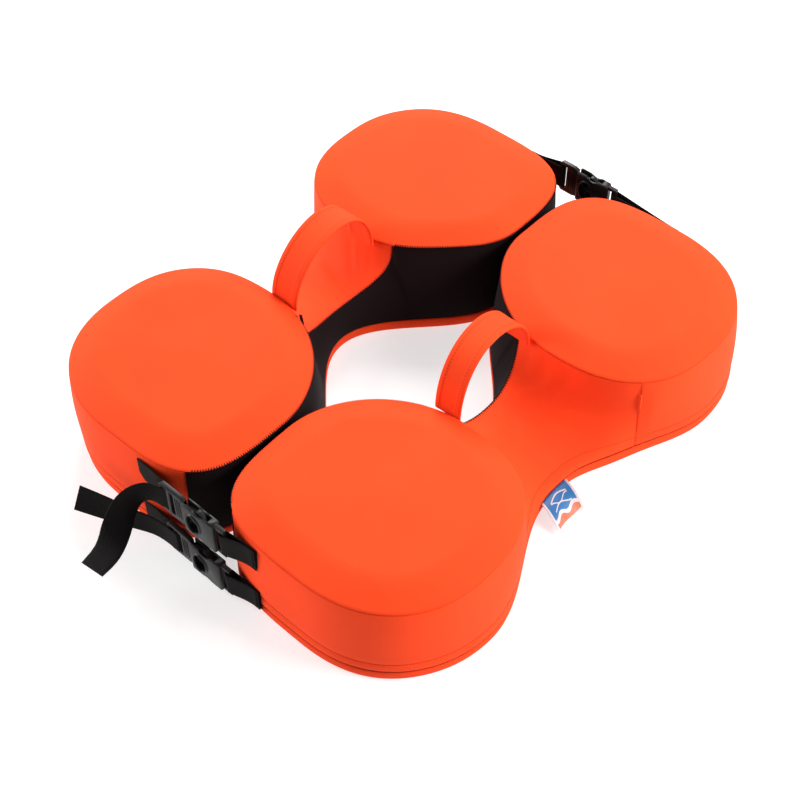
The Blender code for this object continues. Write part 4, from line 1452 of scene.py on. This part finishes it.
@dataclass
class Webbing:
    """Lengths of ribbed webbing, each sewn to a pod and led round a bar of a buckle."""

    finishes: Wardrobe
    width: float = 0.030
    thickness: float = 1.4 * MM
    strap_y: float = 0.3055
    sewn: float = 0.014

    def wall_y(self, x: float, z: float) -> float:
        """How far out the cover lies at x and height z, near the straps."""
        share = min(abs(x - SHAPE.centre_x) / SHAPE.half_x, 1.0)
        squared = (1 - share ** SHAPE.gap_square) ** (1 / SHAPE.gap_square)
        low = min(max((SHAPE.seam_z - z) / (SHAPE.seam_z - SHAPE.zip_z), 0), 1)
        return SHAPE.centre_y + (SHAPE.half_y + SHAPE.flare_y * low) * squared

    def ends(self, anchor: float, height: float, layer: int) -> list[tuple[float, float]]:
        """The two points where a layer of webbing lies sewn on the cover."""
        low = height - self.width / 2
        away = 0.3 * MM + self.thickness * (layer - 0.5) + 0.3 * MM * (layer - 1)
        out = max(self.wall_y(anchor, low), self.wall_y(anchor - self.sewn, low)) + away
        return [(anchor, out), (anchor - self.sewn, out)]

    def arc(self, x: float, radius: float) -> list[tuple[float, float]]:
        """The turn round a bar at x."""
        turns = np.radians(np.linspace(270, 90, 13))
        return [(x + radius * math.cos(a), self.strap_y + radius * math.sin(a)) for a in turns]

    def laid(self, name: str, path: Sequence[Sequence[float]], across: Sequence[Sequence[float]], body: str,
             node: str, smooth_times: int = 2) -> None:
        """Makes one length of webbing.

        Args:
            name: The piece's name.
            path: Its middle line.
            across: The direction across it at each point.
            body: The rigid body that it moves with.
            node: The CAD node that it stands for.
            smooth_times: How often the line's corners are cut.
        """
        both = rounded(np.column_stack([np.array(path), np.array(across)]), smooth_times)
        steps = max(int(np.linalg.norm(np.diff(both[:, :3], axis=0), axis=1).sum() / (1.6 * MM)), 20)
        both = resampled(both, steps)
        obj = strip(name, both[:, :3], both[:, 3:], self.width, self.thickness, self.finishes.webbing)
        report(obj, body, [node])

    def loop(self, name: str, anchor: float, bar: float, radius: float, height: float,
            signs: tuple[int, int],
             body: str, node: str) -> None:
        """Makes a loop: sewn end, bar and sewn end again.

        Args:
            name: The piece's name.
            anchor: Where it is sewn, along X.
            bar: The bar's place along X.
            radius: Of the turn round the bar.
            height: Of the strap above the floor.
            signs: The signs of X and Y.
            body: The rigid body that it moves with.
            node: The CAD node that it stands for.
        """
        lower = self.ends(anchor, height, 1)
        upper = self.ends(anchor, height, 2)
        path = lower + self.arc(bar, radius) + [upper[1], (upper[0][0] - 1.2 * MM, upper[0][1])]
        points = [(signs[0] * x, signs[1] * y, height) for x, y in path]
        self.laid(name, points, [(0, 0, 1)] * len(points), body, node)
        row = np.array([(signs[0] * (anchor - 4 * MM), signs[1] * (upper[0][1] + self.thickness / 2),
                         height + z) for z in np.linspace(-0.0125, 0.0125, 12)])
        out = np.broadcast_to(np.array([0.0, signs[1], 0.0]), row.shape)
        sewn = stitches(f"{name}_bar_tack", row, out, self.finishes.black_thread, pitch=2.2 * MM,
            length=3.2 * MM,
                        radius=0.5 * MM, across=True)
        report(sewn, body)

    def tail(self, level: str, height: float,
            tail: Sequence[tuple[Sequence[float], Sequence[float]]]) -> None:
        """Makes the webbing of a front strap: sewn end, adjuster and free tail.

        Args:
            level: "upper" or "lower".
            height: Of the strap above the floor.
            tail: Points and directions of the free end, from the strap's line.
        """
        gap = 2.5 * MM + 0.3 * MM + self.thickness / 2 + 0.3 * MM
        bar = 0.008 + 0.0157 + 0.0055
        outer = bar + 0.008 + 0.0055
        path = self.ends(0.082, height, 1) + [(outer + 0.004, self.strap_y - gap)]
        path += self.arc(bar + 0.2 * MM, gap)
        path.append((outer + 0.004, self.strap_y + gap))
        points = [(-x, -y, height) for x, y in path]
        across = [(0.0, 0.0, 1.0)] * len(points)
        points += [(p[0], p[1] - self.strap_y, p[2] + height) for p, _ in tail]
        across += [a for _, a in tail]
        self.laid(f"front_{level}_tail_strap", points, across, Side.LEFT.body, f"front_{level}_tail_webbing")

    def build(self) -> None:
        """Makes every length of webbing."""
        upper = (((-0.060, -0.0095, -0.002), (-0.05, -0.15, 1.00)),
            ((-0.066, -0.0245, -0.007), (-0.35, -0.50, 1.00)),
                 ((-0.061, -0.0445, -0.024), (-0.85, -0.40, 0.60)),
                 ((-0.055, -0.0645, -0.041), (-1.10, 0.00, 0.00)),
                 ((-0.057, -0.0845, -0.049), (-1.00, -0.05, -0.15)))
        lower = (((-0.060, -0.0070, 0.0030), (0.00, 0.00, 1.00)),
            ((-0.078, -0.0165, 0.0075), (0.00, 0.10, 1.00)),
                 ((-0.100, -0.0265, 0.0125), (0.00, 0.28, 1.00)),
                 ((-0.133, -0.0395, 0.0155), (0.00, 0.48, 1.00)))
        for level, height, tail in (("upper", 0.088, upper), ("lower", 0.0235, lower)):
            self.tail(level, height, tail)
            self.loop(f"front_{level}_loop_strap", 0.080, 0.043, 4.0 * MM, height, (1, -1), Side.RIGHT.body,
                      f"front_{level}_loop_webbing")
        self.loop("rear_right_strap", 0.128, 0.039, 4.0 * MM, 0.090, (1, 1), Side.RIGHT.body,
            "rear_right_webbing")
        self.loop("rear_left_strap", 0.077, 0.0352, 4.2 * MM, 0.090, (-1, 1), Side.LEFT.body,
            "rear_left_webbing")


@dataclass
class CareLabel:
    """The folded satin label sewn into the zip's seam at the right waist."""

    finishes: Wardrobe
    width: float = 0.042
    length: float = 0.034
    gap: float = 0.8 * MM
    centre_y: float = -0.011
    skew: float = 0.010
    root_z: float = 0.0145
    fall: float = 0.0105
    arch: float = 0.003

    def build(self) -> None:
        columns = 25
        out = np.linspace(0, 1, 19)
        rows = []
        maps = []
        for layer, order in ((0, out), (1, out[::-1])):
            for t in order:
                row = []
                for s in np.linspace(0, 1, columns):
                    y = self.centre_y + self.width * (s - 0.5)
                    root = float(SHAPE.outer_x(y)) + 0.5 * MM
                    curl = 1.4 * MM * math.sin(2.2 * math.pi * s) * t
                    x = root + self.length * 0.955 * t
                    hang = self.root_z - self.fall * t ** 1.2 + self.arch * math.sin(math.pi * t)
                    z = hang + curl - layer * self.gap * (1 - t ** 8)
                    row.append((x + layer * 0.5 * MM * (1 - t), y - self.skew * t, z))
                rows.append(row)
                maps.append(layer + (t if layer == 0 else 1 - t))
        grid = np.array(rows)
        faces = []
        uv = []
        for i in range(len(rows) - 1):
            for j in range(columns - 1):
                corners = [(i, j), (i + 1, j), (i + 1, j + 1), (i, j + 1)]
                faces.append([a * columns + b for a, b in corners])
                uv += [(b / (columns - 1), maps[a]) for a, b in corners]
        obj = linked_mesh("care_label_satin", grid.reshape(-1, 3), faces, np.array(uv), self.finishes.label)
        thicken(obj, 0.3 * MM, 0.0)
        smooth(obj, math.radians(60))
        report(obj, Side.RIGHT.body, ["care_label"])


@dataclass
class Studio:
    """A pale floor, soft lights and the camera."""

    eye: tuple[float, float, float] = (0.68375, -0.77092, 1.22481)
    aim_z: float = 0.108
    lens: float = 66.3

    def floor(self) -> None:
        """Makes the floor under the jacket."""
        bpy.ops.object.select_all(action="DESELECT")
        bpy.ops.mesh.primitive_plane_add(size=12, location=(0, 0, -0.0004))
        obj = bpy.context.object
        obj.name = "studio_floor"
        made = bpy.data.materials.new("white_paper_sweep")
        made.use_nodes = True
        shader = made.node_tree.nodes["Principled BSDF"]
        shader.inputs["Base Color"].default_value = linear("B8B7B6")
        shader.inputs["Roughness"].default_value = 0.9
        shader.inputs["Specular IOR Level"].default_value = 0.1
        shader.inputs["Emission Color"].default_value = (1.0, 1.0, 1.0, 1.0)
        shader.inputs["Emission Strength"].default_value = 0.62
        obj.data.materials.append(made)

    def light(self, name: str, place: tuple[float, float, float], size: float, power: float) -> None:
        """Adds one soft light that faces the ring's centre.

        Args:
            name: The light's name.
            place: In metres.
            size: Of its square, in metres.
            power: In watts.
        """
        data = bpy.data.lights.new(name, "AREA")
        data.shape = "SQUARE"
        data.size = size
        data.energy = power
        obj = bpy.data.objects.new(name, data)
        bpy.context.scene.collection.objects.link(obj)
        obj.location = place
        obj.rotation_euler = (Vector((0, 0, 0.05)) - Vector(place)).to_track_quat("-Z", "Y").to_euler()

    def build(self) -> None:
        """Makes the floor, the lights, the sky and the camera."""
        self.floor()
        self.light("back_softbox", (-1.5, 1.9, 2.2), 1.5, 124.0)
        self.light("left_softbox", (-2.3, -1.3, 0.75), 1.3, 84.0)
        self.light("right_softbox", (2.2, 1.1, 1.4), 1.3, 106.0)
        world = bpy.data.worlds.new("studio_white")
        world.use_nodes = True
        world.node_tree.nodes["Background"].inputs["Color"].default_value = (1.0, 1.0, 1.0, 1.0)
        world.node_tree.nodes["Background"].inputs["Strength"].default_value = 0.33
        bpy.context.scene.world = world
        bpy.context.scene.view_settings.view_transform = "Standard"
        camera = bpy.data.cameras.new("three_quarter_camera")
        camera.lens = self.lens
        camera.sensor_width = 36.0
        camera.shift_x = -0.0118
        camera.shift_y = -0.0954
        camera.clip_start = 0.05
        camera.clip_end = 50.0
        obj = bpy.data.objects.new("three_quarter_camera", camera)
        bpy.context.scene.collection.objects.link(obj)
        obj.location = Vector(self.eye) + RING
        aim = RING + Vector((0, 0, self.aim_z))
        obj.rotation_euler = (aim - obj.location).to_track_quat("-Z", "Y").to_euler()
        bpy.context.scene.camera = obj


def main() -> None:
    """Builds the studio, then the jacket's looks in order."""
    logging.basicConfig(level=logging.INFO, format="%(name)s: %(message)s")
    finishes = make_wardrobe()
    Studio().build()
    for side in Side:
        for end in End:
            PodCovers(side, end, finishes).build()
        Waist(side, finishes).build()
        ShoulderBand(side, finishes).build()
    Webbing(finishes).build()
    for level in ("upper", "lower"):
        name = f"front_{level}_buckle"
        prongs = (f"{name}_upper_prong", f"{name}_lower_prong")
        Buckle(name, Side.LEFT.body, Side.RIGHT.body, prongs, finishes).build()
    Buckle("rear_buckle", "rear_plug", "rear_socket", ("rear_buckle_upper_prong", "rear_buckle_lower_prong"),
           finishes).build()
    CareLabel(finishes).build()


if __name__ == "__main__":
    main()
